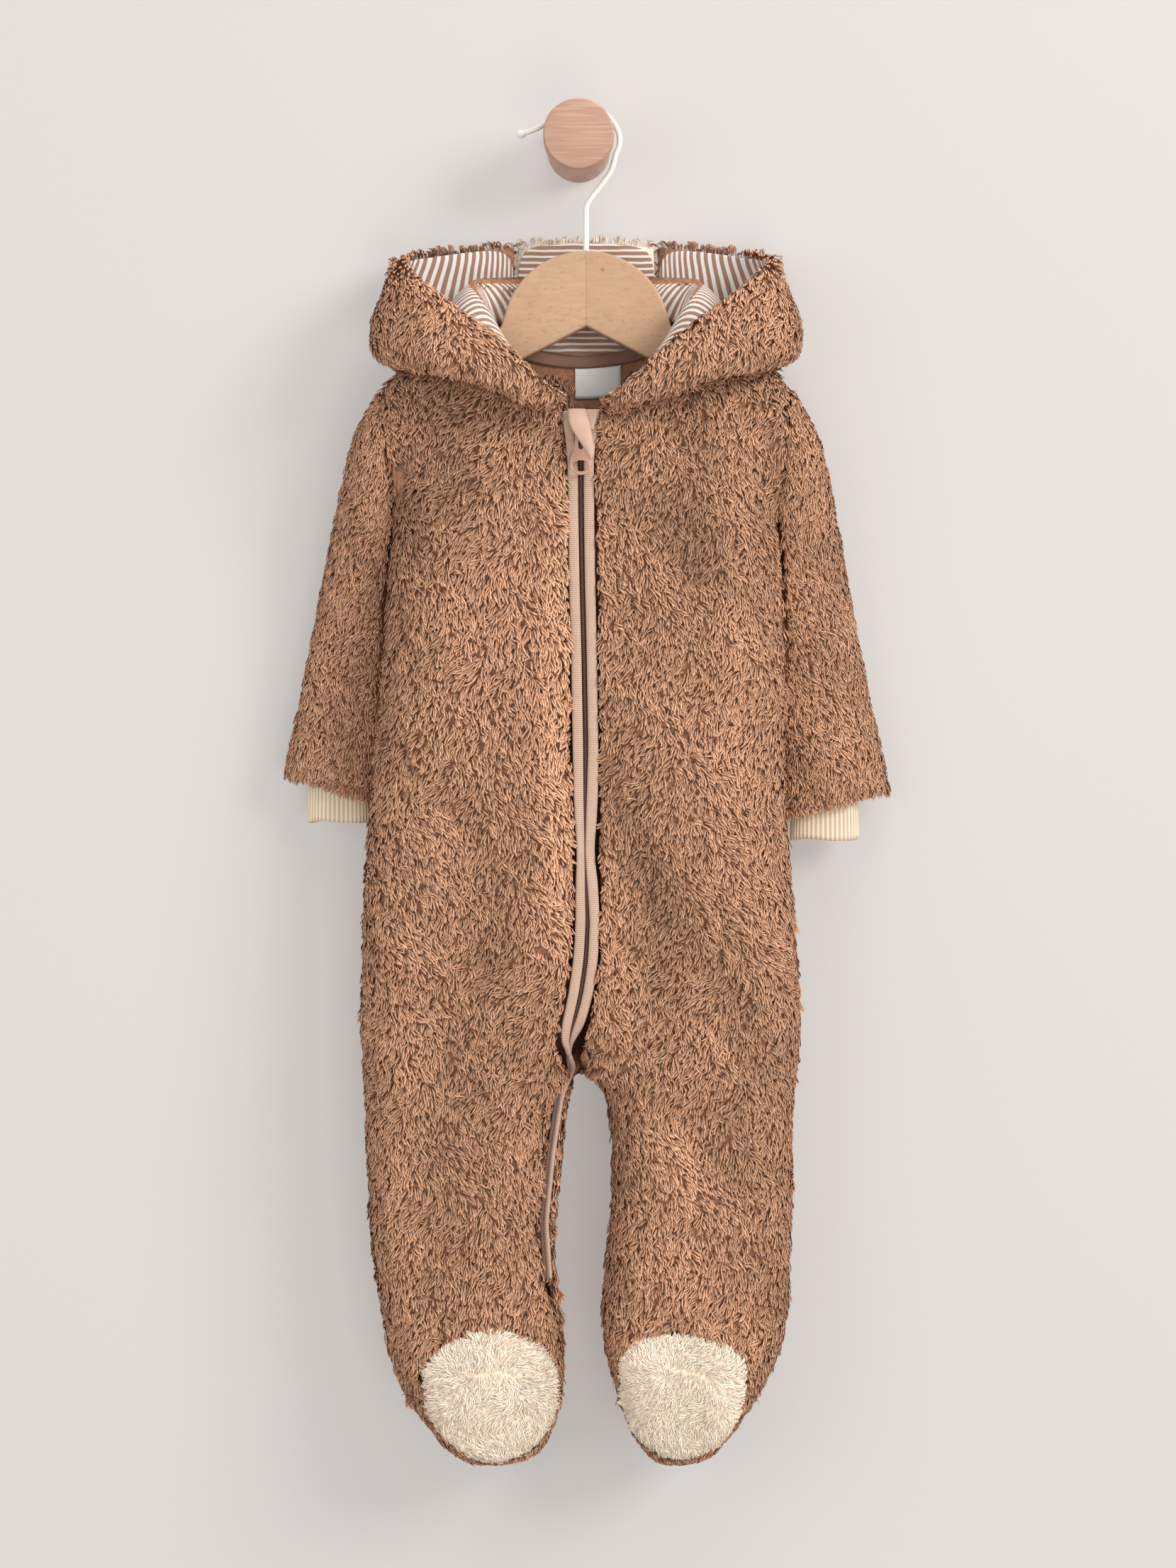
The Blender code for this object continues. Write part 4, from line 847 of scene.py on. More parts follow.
def backing_material(name, root, tip):
    """Knitted backing in the dark colour of the pile's roots, painted shade under the locks, mottled towards
    the tips' colour by noise.
    """
    made, tree, shader = new_material(name)
    coarse = noise(tree, 420, detail=3)
    base = mix_colour(tree, math_node(tree, "MULTIPLY", coarse, 0.6), root, tip)
    tree.links.new(toned(tree, base, noise(tree, 60), 0.3), shader.inputs["Base Color"])
    finish_with(shader, Roughness=0.95, Specular_IOR_Level=0.15)
    bump(tree, shader, coarse, 0.9, 0.8 * MM)
    return made


class PRAMSUIT_OT_fleece(bpy.types.Operator):
    """Build the fleece pieces, each a backing with its pile of locks."""

    bl_idname = "pramsuit.fleece"
    bl_label = "Fleece"

    def execute(self, context):
        colours, pile = settings().colours, settings().pile
        finishes = {
            "brown_fleece": (
                backing_material("brown_backing", colours.fleece_root_shade, colours.fleece_tip),
                fleece_material("brown_pile", colours.fleece_tip, colours.fleece_root_shade),
            ),
            "cream_fleece": (
                backing_material("cream_backing", colours.cream_root_shade, colours.cream_tip),
                # the cream pile glows a little: painted light
                fleece_material("cream_pile", colours.cream_tip, colours.cream_root_shade, 0.13),
            ),
        }
        solids = {name: BVHTree.FromBMesh(bm_of(name)) for name in NODES}
        for index, row in enumerate(FLEECE):
            entry = dict(zip(FLEECE_COLUMNS, row))
            name = entry["node"]
            backing_finish, pile_finish = finishes[entry["slot"]]
            mesh, surface = build_backing(entry)
            backing = new_object(name + "_backing", mesh, backing_finish, (name,))
            density = pile.tufts * PER_CM2 * entry["cover"] / entry["lock"] ** 2
            places = scatter(surface, density, 100 + index)
            places = in_the_open(places, name, entry["slot"], solids)
            if name == "hood_gusset":  # the side that faces the neck is lined
                free = (places["normal"][:, 1] > -0.3) | (places["point"][:, 2] > LINED_BELOW)
                places = chosen(places, free)
            parts = add_pile(name, places, entry, 200 + index, pile_finish)
            if name == "back":
                parts += self.line_the_neck(finishes["brown_fleece"][1])
        return {"FINISHED"}

    def line_the_neck(self, finish):
        """Pile on the inner side of the back, where it shows in the neck round the label."""
        points, corners, _ = triangle_arrays(NODES["back"].data)
        faces = points[corners]
        normals = unit(np.cross(faces[:, 1] - faces[:, 0], faces[:, 2] - faces[:, 0]))
        middle = faces.mean(axis=1)
        seen = (normals[:, 1] < -0.4) & (np.abs(middle[:, 0] - SUIT_X) < 60 * MM)
        seen &= (middle[:, 2] > NECK_FLOOR) & (middle[:, 1] > -45 * MM)
        flat = faces[seen].reshape(-1, 3)
        outward = np.repeat(normals[seen], 3, axis=0)
        surface = {
            "points": flat + outward * NECK_PILE, "normals": outward, "depth": np.full(len(flat), NECK_PILE),
            "faces": np.arange(len(flat)).reshape(-1, 3),
        }
        places = scatter(surface, settings().pile.tufts * PER_CM2, 300)
        x, z = places["point"][:, 0], places["point"][:, 2]
        label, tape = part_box("label"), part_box("neck_tape")
        free = (x < label[0].x - MM) | (x > label[1].x + MM) | (z < label[0].z - 2 * MM)
        free &= z < tape[0].z - 1.5 * MM
        places = chosen(places, free)
        places["room"] = np.full(len(places["point"]), 1.0)
        entry = dict(zip(FLEECE_COLUMNS, ("back_neck", None, "brown_fleece", 1.0, 0.9, 1.0)))
        return add_pile("back_neck", places, entry, 301, finish)


def in_the_open(places, name, slot, solids):
    """Leaves out the places where another piece lies against the pile, and finds how much room
    there is up to the pieces that stay bare."""
    points, normals = places["point"], places["normal"]
    keep = np.ones(len(points), bool)
    room = np.full(len(points), 1.0)
    reach = 6 * MM
    for other, tree in solids.items():
        low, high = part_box(other)
        near = np.all((points > np.array(low) - reach) & (points < np.array(high) + reach), axis=1)
        bare = other in KEPT_BARE[slot]
        if other == name and name not in HOOD_LINING:
            continue
        for i in np.nonzero(near)[0]:
            normal = Vector(normals[i])
            hit = tree.ray_cast(Vector(points[i]) - normal * 0.3 * MM, normal, 3.2 * MM)
            if hit[0] is not None and hit[3] < 1.6 * MM and hit[1].dot(normal) < -0.2:
                keep[i] = False
            if bare and keep[i]:
                found = tree.find_nearest(Vector(points[i]), reach)
                if found[0] is not None:
                    room[i] = min(room[i], found[3])
    places["room"] = room
    return chosen(places, keep)


def add_pile(name, places, entry, seed, finish):
    """The pile of one piece, in as few joined meshes as their size allows."""
    pile = tuft_arrays(places, entry, seed)
    tufts = len(places["point"])
    shares = max(1, math.ceil(tufts * LOCKS * LOCK_TRIANGLES / MOST_TRIANGLES))
    order = np.argsort(places["point"][:, 2], kind="stable")
    made = []
    for share in range(shares):
        own = np.sort(order[share * tufts // shares:(share + 1) * tufts // shares])
        corners = (own[:, None] * LOCKS * CORNERS + np.arange(LOCKS * CORNERS)).reshape(-1)
        base = (np.arange(len(own) * LOCKS) * CORNERS)[:, None]
        ends = np.concatenate([base + np.array([q]) for q in ((0, 1, 2), (3, 5, 4))])
        mesh = mesh_from(
            f"{name}_pile_{share + 1}", pile["points"][corners], [base + np.array([(1, 3, 4, 2)]), ends],
            **{key: pile[key][corners] for key in ("rise", "tone", "strand")},
        )
        mesh.normals_split_custom_set_from_vertices(pile["facing"][corners])
        made.append(new_object(mesh.name, mesh, finish))
    return made


# ================================================================ lining
LINING_TURNS = (  # direction round the neck in degrees, and the way along the cut, in mm
    (-75, 211), (-57, 194), (-41, 165), (-27, 137), (-13, 110), (-2, 88), (12, 60), (33, 0), (90, -41),
)


def lining_material(name, pitch, share):
    """Striped jersey: brown bands over off-white, with its fine knit."""
    colours = settings().colours
    made, tree, shader = new_material(name)
    cut = attribute(tree, "cut").outputs["Vector"]
    along, down, _ = axes_of(tree, cut)
    wobble = math_node(tree, "MULTIPLY", noise(tree, 60, cut), 0.35)
    placed = math_node(tree, "ADD", math_node(tree, "MULTIPLY", along, 1 / pitch), wobble)
    band = math_node(tree, "PINGPONG", placed, 0.5)
    edge = math_node(tree, "MULTIPLY", math_node(tree, "SUBTRACT", band, share / 2), 14.0, clamp=True)
    base = mix_colour(tree, edge, colours.stripe, colours.jersey)
    knit = math_node(tree, "MULTIPLY", ribs_over(tree, along, 0.55 * MM), ribs_over(tree, down, 0.7 * MM))
    base = toned(tree, base, from_zero(tree, knit, 0.25), 0.12)
    base = toned(tree, base, noise(tree, 35), 0.14)
    tree.links.new(base, shader.inputs["Base Color"])
    finish_with(shader, Roughness=0.9, Sheen_Weight=0.15)
    bump(tree, shader, knit, 0.35, 0.15 * MM)
    return made


class PRAMSUIT_OT_lining(bpy.types.Operator):
    """Build the striped jersey lining of the hood."""

    bl_idname = "pramsuit.lining"
    bl_label = "Lining"

    def execute(self, context):
        side_finish = lining_material("side_jersey", 4.6 * MM, 0.46)
        middle_finish = lining_material("gusset_jersey", 3.5 * MM, 0.56)
        for name in HOOD_LINING.values():
            middle = name == "hood_lining_gusset"
            mesh = subdivided(self.flat_jersey(name), name + "_jersey", 2)
            points = triangle_arrays(mesh)[0]
            if middle:
                sag = 1 - smooth_step(-0.116, -0.095, points[:, 2])
                points[:, 2] -= 9 * MM * sag  # down to the neck tape
                points[:, 1] -= 1.5 * MM * sag
            else:
                low_part = 1 - smooth_step(-0.140, -0.128, points[:, 2])
                beside = 1 - smooth_step(0.036, 0.052, np.abs(points[:, 0] - SUIT_X))
                points[:, 1] += 6 * MM * low_part * beside  # behind the edges of the hood
            move_points(mesh, points)
            made = mesh.attributes.new("cut", "FLOAT_VECTOR", "POINT")
            made.data.foreach_set("vector", self.cut_of(points, middle).astype(np.float32).reshape(-1))
            mesh.shade_smooth()
            finish = middle_finish if middle else side_finish
            lining = new_object(name + "_jersey", mesh, finish, (name,))
        return {"FINISHED"}

    def flat_jersey(self, name):
        """A copy of the lining's solid whose cut edges stay sharp."""
        bm = merged_copy(name)
        crease = bm.edges.layers.float.new("crease_edge")
        for edge in bm.edges:
            if len(edge.link_faces) == 2:
                square = 60 < math.degrees(edge.calc_face_angle()) < 120
                small = min(f.calc_area() for f in edge.link_faces) < 25e-6
                edge[crease] = 1.0 if square and small else 0.0
        return bm

    def cut_of(self, points, middle):
        """Where each point lay in the flat cloth: along its stripes' way, down and through."""
        if middle:
            return np.stack([points[:, 2] * 0.97, points[:, 0], points[:, 1]], axis=1)
        table = np.array(LINING_TURNS, float)
        x, y = points[:, 0] - SUIT_X, points[:, 1] + 36 * MM
        turn = np.degrees(np.arctan2(y, np.abs(x)))
        return np.stack([np.interp(turn, table[:, 0], table[:, 1]) * MM, points[:, 2], y], axis=1)


# ================================================================ cuffs
CUFF_RIBS = 44
POINTS_TO_RIB = 6
CUFF_ROWS = 13  # of points, down the outer side and up the inner one
CUFF_WALL = 2.1 * MM
CUFF_FLARE = 1.1 * MM  # how much wider its mouth is


def rib_material(name, base):
    """Rib knit, with painted shade in its grooves."""
    made, tree, shader = new_material(name)
    down = axes_of(tree, attribute(tree, "cut").outputs["Vector"])[1]
    # painted shade: darker in the grooves between the ribs, lighter on them
    tinted = toned(tree, base, attribute(tree, "rise").outputs["Fac"], 0.28)
    tree.links.new(toned(tree, tinted, noise(tree, 45), 0.12), shader.inputs["Base Color"])
    finish_with(shader, Roughness=0.9, Sheen_Weight=0.2)
    bump(tree, shader, ribs_over(tree, down, 0.9 * MM), 0.3, 0.12 * MM)
    return made


class PRAMSUIT_OT_cuffs(bpy.types.Operator):
    """Build the two rib-knit cuffs."""

    bl_idname = "pramsuit.cuffs"
    bl_label = "Cuffs"

    def execute(self, context):
        finish = rib_material("cream_rib", settings().colours.rib)
        for word in ("right", "left"):
            cuff = new_object(
                "cuff_" + word + "_rib", self.cuff_mesh(word), finish, ("cuff_" + word,)
            )
        return {"FINISHED"}

    def cuff_mesh(self, word):
        """A closed tube of rib knit, ribbed outside and plain inside."""
        low, high = (np.array(corner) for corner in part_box("cuff_" + word))
        middle, half = (low + high) / 2, (high - low) / 2
        columns = CUFF_RIBS * POINTS_TO_RIB
        turn = 2 * math.pi * np.arange(columns) / columns
        groove = 0.5 - 0.5 * np.cos(CUFF_RIBS * turn)
        way_down = np.arange(CUFF_ROWS) / (CUFF_ROWS - 1)
        sheets, rises, cuts = [], [], []
        for inside, rows in ((0, way_down), (1, 1 - way_down)):
            for t in rows:
                shrink = CUFF_WALL if inside else 0.32 * MM * (1 - groove)
                sag = 0.7 * MM * np.sin(3 * turn + 1.0) * t
                depth = np.sin(turn) * (1 + 0.3 * np.cos(turn) ** 2)
                x = middle[0] + (half[0] - shrink - 0.6 * MM + CUFF_FLARE * t) * np.cos(turn)
                y = middle[1] - (half[1] - shrink) * depth
                edge = 0.25 * MM * groove * (t == 1.0) * (1 - inside)
                z = high[2] - (high[2] - low[2] - 1.2 * MM) * t + sag - edge - 0.5 * MM
                sheets.append(np.stack([x, y, z], axis=1))
                # rises: high on the ribs and low in the grooves, where the material paints shade
                rises.append(groove)
                cuts.append(np.stack([turn * half[0], np.full(columns, z[0]), turn], axis=1))
        rows = 2 * CUFF_ROWS
        k = np.arange(columns)
        following, last = (k + 1) % columns, (rows - 1) * columns
        join = np.stack([last + k, last + following, following, k], axis=1)
        faces = np.concatenate([grid_faces(rows, columns, closed=True), join])[:, ::-1]
        mesh = mesh_from("cuff_" + word + "_rib", np.concatenate(sheets), [faces],
                         rise=np.concatenate(rises), cut=np.concatenate(cuts))
        outwards(mesh)
        return mesh


# ================================================================ zip
def section(name, z):
    """The box round a strip's cut at each height: its lowest x and y and highest x and y,
    smoothed."""
    points, corners, _ = triangle_arrays(NODES[name].data)
    pairs = np.concatenate([corners[:, [0, 1]], corners[:, [1, 2]], corners[:, [2, 0]]])
    a, b = points[pairs[:, 0]], points[pairs[:, 1]]
    found = []
    for height in z:
        crossing = (a[:, 2] - height) * (b[:, 2] - height) < 0
        start, end = a[crossing], b[crossing]
        share = (height - start[:, 2:]) / (end[:, 2:] - start[:, 2:])
        cut = start[:, :2] + (end[:, :2] - start[:, :2]) * share
        found.append([*cut.min(axis=0), *cut.max(axis=0)])
    found = np.array(found)
    kernel = np.exp(-np.linspace(-2, 2, 13) ** 2)
    padded = np.pad(found, ((6, 6), (0, 0)), mode="reflect", reflect_type="odd")
    return np.stack([np.convolve(padded[:, k], kernel / kernel.sum(), "valid") for k in range(4)], axis=1)


def zip_frame(step):
    """Points down the zip, one every step: the ways along, across and out of it there, how far
    down each is, the gap between the bindings and their two widths."""
    top = min(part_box(n)[1].z for n in ("zip_chain", "binding_right", "binding_left")) - 1.2 * MM
    end = max(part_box(n)[0].z for n in ("zip_chain", "binding_right", "binding_left")) + 1.2 * MM
    z = np.linspace(top, end, 300)
    right, left = section("binding_right", z), section("binding_left", z)
    gap, height = left[:, 0] - right[:, 2], (right[:, 1] + left[:, 1] + right[:, 3] + left[:, 3]) / 4
    middle = np.stack([(right[:, 2] + left[:, 0]) / 2, height, z], axis=1)
    lean = np.stack([gap, (left[:, 1] - right[:, 1]) * 0.35, np.zeros(len(z))], axis=1)
    sizes = np.stack([gap, right[:, 2] - right[:, 0], left[:, 2] - left[:, 0]], axis=1)
    lengths = np.concatenate([[0], np.cumsum(np.linalg.norm(np.diff(middle, axis=0), axis=1))])
    at = np.arange(int(lengths[-1] / step) + 1) * step

    def along_length(values):
        return np.stack([np.interp(at, lengths, values[:, k]) for k in range(3)], axis=1)

    centre = along_length(middle)
    along = unit(np.gradient(centre, axis=0))
    across = along_length(unit(lean))
    window = max(3, int(24 * MM / step) // 2 * 2 + 1)
    padded = np.pad(across, ((window // 2, window // 2), (0, 0)), mode="edge")
    even = np.ones(window) / window
    across = unit(np.stack([np.convolve(padded[:, k], even, "valid") for k in range(3)], axis=1))
    across = unit(across - along * np.sum(across * along, axis=1, keepdims=True))
    out = np.cross(across, along)
    out *= -np.sign(out[:, 1:2])
    slope = np.maximum(np.abs(across[:, :1]), 0.55)
    return centre, along, across, out, at, along_length(sizes) * slope


BINDING_PROFILE = 16  # points round a binding
BINDING_RISE = 1.45 * MM  # half its thickness
GUARD_WALL = 0.8 * MM
GUARD_COLUMNS = 9  # points across the flap and the underlap
TEETH_PITCH = 1.35 * MM
TAB_EDGE = (  # the tab's outline: how far below its bar, and half its width, in mm
    (-0.7, 2.6), (0, 3.0), (3.0, 3.1), (6.5, 3.3), (9.8, 4.0), (12.5, 4.9), (15.0, 5.7), (17.5, 6.2),
    (19.5, 6.2), (21.5, 5.5), (23.0, 4.3), (24.0, 2.8), (24.6, 0.8),
)
GUARD_ROWS = (  # the flap: drop from its top, right edge, left edge, depth, in mm
    (0.3, -10.6, -0.4, -76.8), (5.1, -10.4, 0.9, -79.9), (9.5, -9.5, 2.1, -81.8), (13.9, -7.5, 3.0, -83.6),
    (18.7, -4.4, 3.7, -85.0), (23.5, -1.4, 4.5, -86.1), (26.5, 0.1, 4.4, -86.7), (28.6, 1.3, 3.8, -87.0),
    (30.4, 2.6, 3.1, -87.1),
)
UNDERLAP_ROWS = (  # the fold beside it: drop, left edge, depth
    (0.5, 8.0, -75.6), (4.5, 6.6, -77.6), (9.0, 5.0, -78.7), (12.4, 4.5, -79.0),
)


class PRAMSUIT_OT_zip(bpy.types.Operator):
    """Build the zip: two ribbed bindings, the teeth, the slider, the pull tab and the guard."""

    bl_idname = "pramsuit.zip"
    bl_label = "Zip"

    def execute(self, context):
        colours = settings().colours
        self.add_bindings(binding_material("ribbed_binding", colours.binding))
        self.add_teeth(colours)
        self.add_metal(colours)
        self.add_guard(binding_material("smooth_guard", colours.binding, 0.0))
        return {"FINISHED"}

    def add_bindings(self, cloth):
        centre, _, across, out, at, sizes = zip_frame(1.15 * MM)
        turn = 2 * math.pi * np.arange(BINDING_PROFILE) / BINDING_PROFILE
        wide_part = np.sign(np.cos(turn)) * np.abs(np.cos(turn)) ** 0.7
        high_part = BINDING_RISE * np.sign(np.sin(turn)) * np.abs(np.sin(turn)) ** 0.8
        for sign, word in ((-1, "right"), (1, "left")):
            half = sizes[:, 1 if sign < 0 else 2] / 2
            rows = [
                centre[k] + (sign * (sizes[k, 0] / 2 + half[k]) + half[k] * wide_part)[:, None] * across[k]
                + high_part[:, None] * out[k]
                for k in range(len(at))
            ]
            run = np.repeat(at, BINDING_PROFILE)
            cut = np.stack([run, np.tile(turn, len(at)), np.zeros(len(run))], axis=1)
            ring = np.arange(BINDING_PROFILE)[None]
            ends = [ring, (len(at) - 1) * BINDING_PROFILE + ring[:, ::-1]]
            name = "binding_" + word
            faces = [grid_faces(len(at), BINDING_PROFILE, True), *ends]
            mesh = mesh_from(name + "_ribbed", np.concatenate(rows), faces, cut=cut)
            outwards(mesh)
            piece = new_object(name + "_ribbed", mesh, cloth, (name,))

    def add_teeth(self, colours):
        """The teeth of both sides as one joined mesh, with their tape."""
        centre, along, across, out, at, _ = zip_frame(TEETH_PITCH)
        corners = np.array([(x, y, z) for x in (-1, 1) for y in (-1, 1) for z in (-1, 1)], float)
        sides = np.array([(0, 1, 3, 2), (4, 6, 7, 5), (0, 4, 5, 1), (2, 3, 7, 6), (0, 2, 6, 4), (1, 5, 7, 3)])
        points, faces = [], []
        for sign in (-1, 1):
            shift = 0 if sign < 0 else TEETH_PITCH / 2
            for k in range(len(at) - 1):
                middle = centre[k] + along[k] * shift + across[k] * sign * 0.42 * MM - out[k] * 0.55 * MM
                box = middle + (
                    corners[:, :1] * across[k] * 0.62 * MM + corners[:, 1:2] * along[k] * 0.42 * MM
                    + corners[:, 2:] * out[k] * (0.5 - 0.12 * corners[:, :1] * sign) * MM
                )
                faces.append(sides + 8 * len(points))
                points.append(box)
        faces.append(grid_faces(len(at), 4, True) + 8 * len(points))
        points.append(self.tape(centre, across, out))
        mesh = mesh_from("zip_teeth", np.concatenate(points), [np.concatenate(faces)], smooth=False)
        outwards(mesh)
        made, tree, shader = new_material("zip_coil")
        tree.links.new(toned(tree, colours.teeth, noise(tree, 900), 0.6), shader.inputs["Base Color"])
        finish_with(shader, Roughness=0.45)
        new_object("zip_teeth", mesh, made, ("zip_chain",))

    def tape(self, centre, across, out):
        """The woven tape behind the teeth, four corners to a row."""
        sides = ((-1.3, -1.25), (1.3, -1.25), (1.3, -1.55), (-1.3, -1.55))
        return np.concatenate([
            np.stack([c + a * x * MM + o * y * MM for x, y in sides]) for c, a, o in zip(centre, across, out)
        ])

    def add_metal(self, colours):
        """The slider keeps its solid's shape; the tab is a drop-shaped plate with a raised rim
        round its edge and its hole."""
        made, tree, shader = new_material("zip_paint")
        tree.links.new(toned(tree, colours.metal, noise(tree, 300), 0.15), shader.inputs["Base Color"])
        finish_with(shader, Metallic=0.35, Roughness=0.36, Coat_Weight=0.3)
        bm = bm_of("zip_slider")
        bmesh.ops.remove_doubles(bm, verts=bm.verts, dist=0.005 * MM)
        bmesh.ops.dissolve_limit(bm, angle_limit=math.radians(2), verts=bm.verts, edges=bm.edges)
        slider = mesh_of(bm, "zip_slider_painted")
        shade_with_edges(slider, 30)
        new_object("zip_slider_painted", slider, made, ("zip_slider",))

        low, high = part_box("zip_pull_tab")
        place = Matrix.Translation(((low.x + high.x) / 2, (low.y + high.y) / 2, high.z - 0.7 * MM))
        rows = spline(TAB_EDGE, np.linspace(0, len(TAB_EDGE) - 1, 50))
        edge = [(half, -below) for below, half in rows] + [(-half, -below) for below, half in rows[::-1]]
        hole = [(4.7 * math.cos(a), -19.4 + 3.3 * math.sin(a)) for a in np.radians(np.arange(0, 360, 12))]
        slot = [(1.4 * math.cos(a), -8.4 - 1.5 * math.sin(a)) for a in np.radians(np.arange(0, 181, 20))]
        slot += [(-1.4, -1.0), (1.4, -1.0)]
        bm = bmesh.new()
        bm.from_mesh(plate_mesh("plate", [edge, hole, slot], 1.0 * MM, 0.3 * MM, place))
        rims = bpy.data.curves.new("rims", "CURVE")
        rims.dimensions, rims.bevel_depth, rims.bevel_resolution = "3D", 0.48 * MM, 4
        for loop, inset in ((edge, 0.93), (hole, 1.1)):
            middle = np.mean(loop, axis=0)
            ring = (np.array(loop) - middle) * inset + middle
            add_loop(rims, [(x * MM, -0.2 * MM, z * MM) for x, z in ring], True)
        bm.from_mesh(curve_mesh("rims", rims, place))
        mesh = mesh_of(bm, "zip_pull_tab_painted")
        shade_with_edges(mesh, 35)
        new_object("zip_pull_tab_painted", mesh, made, ("zip_pull_tab",), "pull_tab")

    def add_guard(self, finish):
        """The soft flap that folds over the slider, and the underlap beside it."""
        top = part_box("zip_guard")[1].z
        middle = SUIT_X / MM
        shares = np.linspace(0, 1, GUARD_COLUMNS)
        flap = [
            [(middle + right + (left - right) * t, depth - 0.9 * math.sin(math.pi * t) - 0.5 * t, -drop)
             for t in shares]
            for drop, right, left, depth in spline(GUARD_ROWS, np.linspace(0, len(GUARD_ROWS) - 1, 30))
        ]
        under = [
            [(middle - 9 + (left + 9) * t, depth + 0.9 * math.cos(math.pi * t), -drop) for t in shares]
            for drop, left, depth in spline(UNDERLAP_ROWS, np.linspace(0, len(UNDERLAP_ROWS) - 1, 14))
        ]
        points, faces = [], []
        for rows in (flap, under):
            outer = (np.array(rows) * MM + [0, 0, top]).reshape(-1, 3)
            n, columns, first = len(outer), GUARD_COLUMNS, sum(map(len, points))
            border = np.concatenate([
                np.arange(columns), columns * np.arange(1, len(rows)) + columns - 1,
                n - 2 - np.arange(columns - 1), columns * np.arange(len(rows) - 2, 0, -1),
            ])
            following = np.roll(border, -1)
            front = grid_faces(len(rows), columns)
            rim = np.stack([border, following, following + n, border + n], axis=1)
            points.append(np.concatenate([outer, outer + [0, GUARD_WALL, 0]]))
            faces.append(np.concatenate([front, front[:, ::-1] + n, rim]) + first)
        points = np.concatenate(points)
        cut = np.stack([points[:, 2], points[:, 0], points[:, 1]], axis=1)
        mesh = mesh_from("zip_guard_cloth", points, [np.concatenate(faces)], cut=cut)
        outwards(mesh)
        guard = new_object("zip_guard_cloth", mesh, finish, ("zip_guard",))


def binding_material(name, base, ribs=1.0):
    """Cotton binding with cross ribs, or smooth where ribs is 0."""
    made, tree, shader = new_material(name)
    down = axes_of(tree, attribute(tree, "cut").outputs["Vector"])[0]
    rib = ribs_over(tree, down, 1.15 * MM)
    base = toned(tree, base, from_zero(tree, rib), 0.16 * ribs)
    tree.links.new(toned(tree, base, noise(tree, 120), 0.1), shader.inputs["Base Color"])
    finish_with(shader, Roughness=0.85, Sheen_Weight=0.2)
    bump(tree, shader, rib, 0.5 * ribs, 0.2 * MM)
    return made


# ================================================================ neck tape and label
class PRAMSUIT_OT_neck(bpy.types.Operator):
    """Build the herringbone tape and the blank label inside the back neck."""

    bl_idname = "pramsuit.neck"
    bl_label = "Neck tape and label"

    def execute(self, context):
        colours = settings().colours
        made, tree, shader = new_material("herringbone_tape")
        x, _, z = axes_of(tree, object_place(tree))
        zigzag = math_node(tree, "PINGPONG", z, 2.6 * MM)
        slanted = math_node(tree, "ADD", x, math_node(tree, "MULTIPLY", zigzag, 0.9))
        twill = ribs_over(tree, slanted, 1.3 * MM)
        tree.links.new(toned(tree, colours.tape, from_zero(tree, twill), 0.4), shader.inputs["Base Color"])
        finish_with(shader, Roughness=0.8)
        bump(tree, shader, twill, 0.5, 0.2 * MM)
        satin, tree, shader = new_material("blank_satin")
        tree.links.new(toned(tree, colours.label, noise(tree, 500), 0.06), shader.inputs["Base Color"])
        finish_with(shader, Roughness=0.5, Sheen_Weight=0.3)
        for name, finish, slot, cut, rise in (
            ("neck_tape", made, "brown_tape", (0.086, 0.013), 1.8),
            ("label", satin, "white_label", (0.0275, 0.0195), 3.0),
        ):
            mesh = subdivided(creased_copy(name), name + "_woven", 2)
            mesh.transform(Matrix.Translation((0, 0, rise * MM)))
            mesh.shade_smooth()
            piece = new_object(name + "_woven", mesh, finish, (name,))
        return {"FINISHED"}


def creased_copy(name):
    """A merged copy whose sharp edges are kept by subdivision."""
    bm = merged_copy(name)
    crease = bm.edges.layers.float.new("crease_edge")
    for edge in bm.edges:
        if len(edge.link_faces) == 2 and edge.calc_face_angle() > math.radians(40):
            edge[crease] = 1.0
    return bm


# ================================================================ hanger, hook and peg
HANGER_ARM = (  # the lower half of one side: x and z in mm from the hook's foot
    (44.8, -94.1), (49.5, -108.5), (56, -118.5), (75, -127.5), (90, -133.5), (103, -142), (111, -151),
    (112, -157), (108, -162), (101, -162),
)
HOOK_ROUTE = (  # the wire up to its arc over the peg, in the same way
    (0, -79), (0, -60), (0, -44), (0.2, -39), (2.5, -34.5), (9, -26), (14.5, -18),
)
HOOK_TAIL = ((-24.5, 9.5), (-28.5, 7.0), (-33, 5.3), (-36, 4.2))


def curve_mesh(name, curve, matrix=None):
    """The mesh of a curve datablock, welded."""
    guide = bpy.data.objects.new(name + "_guide", curve)
    bpy.context.scene.collection.objects.link(guide)
    if matrix is not None:
        guide.matrix_world = matrix
    bpy.context.view_layer.update()
    graph = bpy.context.evaluated_depsgraph_get()
    found = bpy.data.meshes.new_from_object(guide.evaluated_get(graph))
    found.transform(guide.matrix_world)
    bpy.data.objects.remove(guide, do_unlink=True)
    bm = bmesh.new()
    bm.from_mesh(found)
    bpy.data.meshes.remove(found)
    bmesh.ops.remove_doubles(bm, verts=bm.verts, dist=0.01 * MM)
    bmesh.ops.recalc_face_normals(bm, faces=bm.faces)
    return mesh_of(bm, name)


def plate_mesh(name, loops, thick, rounding, matrix):
    """A rounded plate from closed outlines in the picture plane; inner outlines are holes."""
    curve = bpy.data.curves.new(name + "_outline", "CURVE")
    curve.dimensions, curve.fill_mode = "2D", "BOTH"
    curve.extrude, curve.bevel_depth, curve.bevel_resolution = thick / 2 - rounding, rounding, 4
    curve.offset = -rounding
    for loop in loops:
        add_loop(curve, [(x * MM, z * MM, 0) for x, z in loop], True)
    return curve_mesh(name, curve, matrix @ Matrix.Rotation(math.radians(90), 4, "X"))


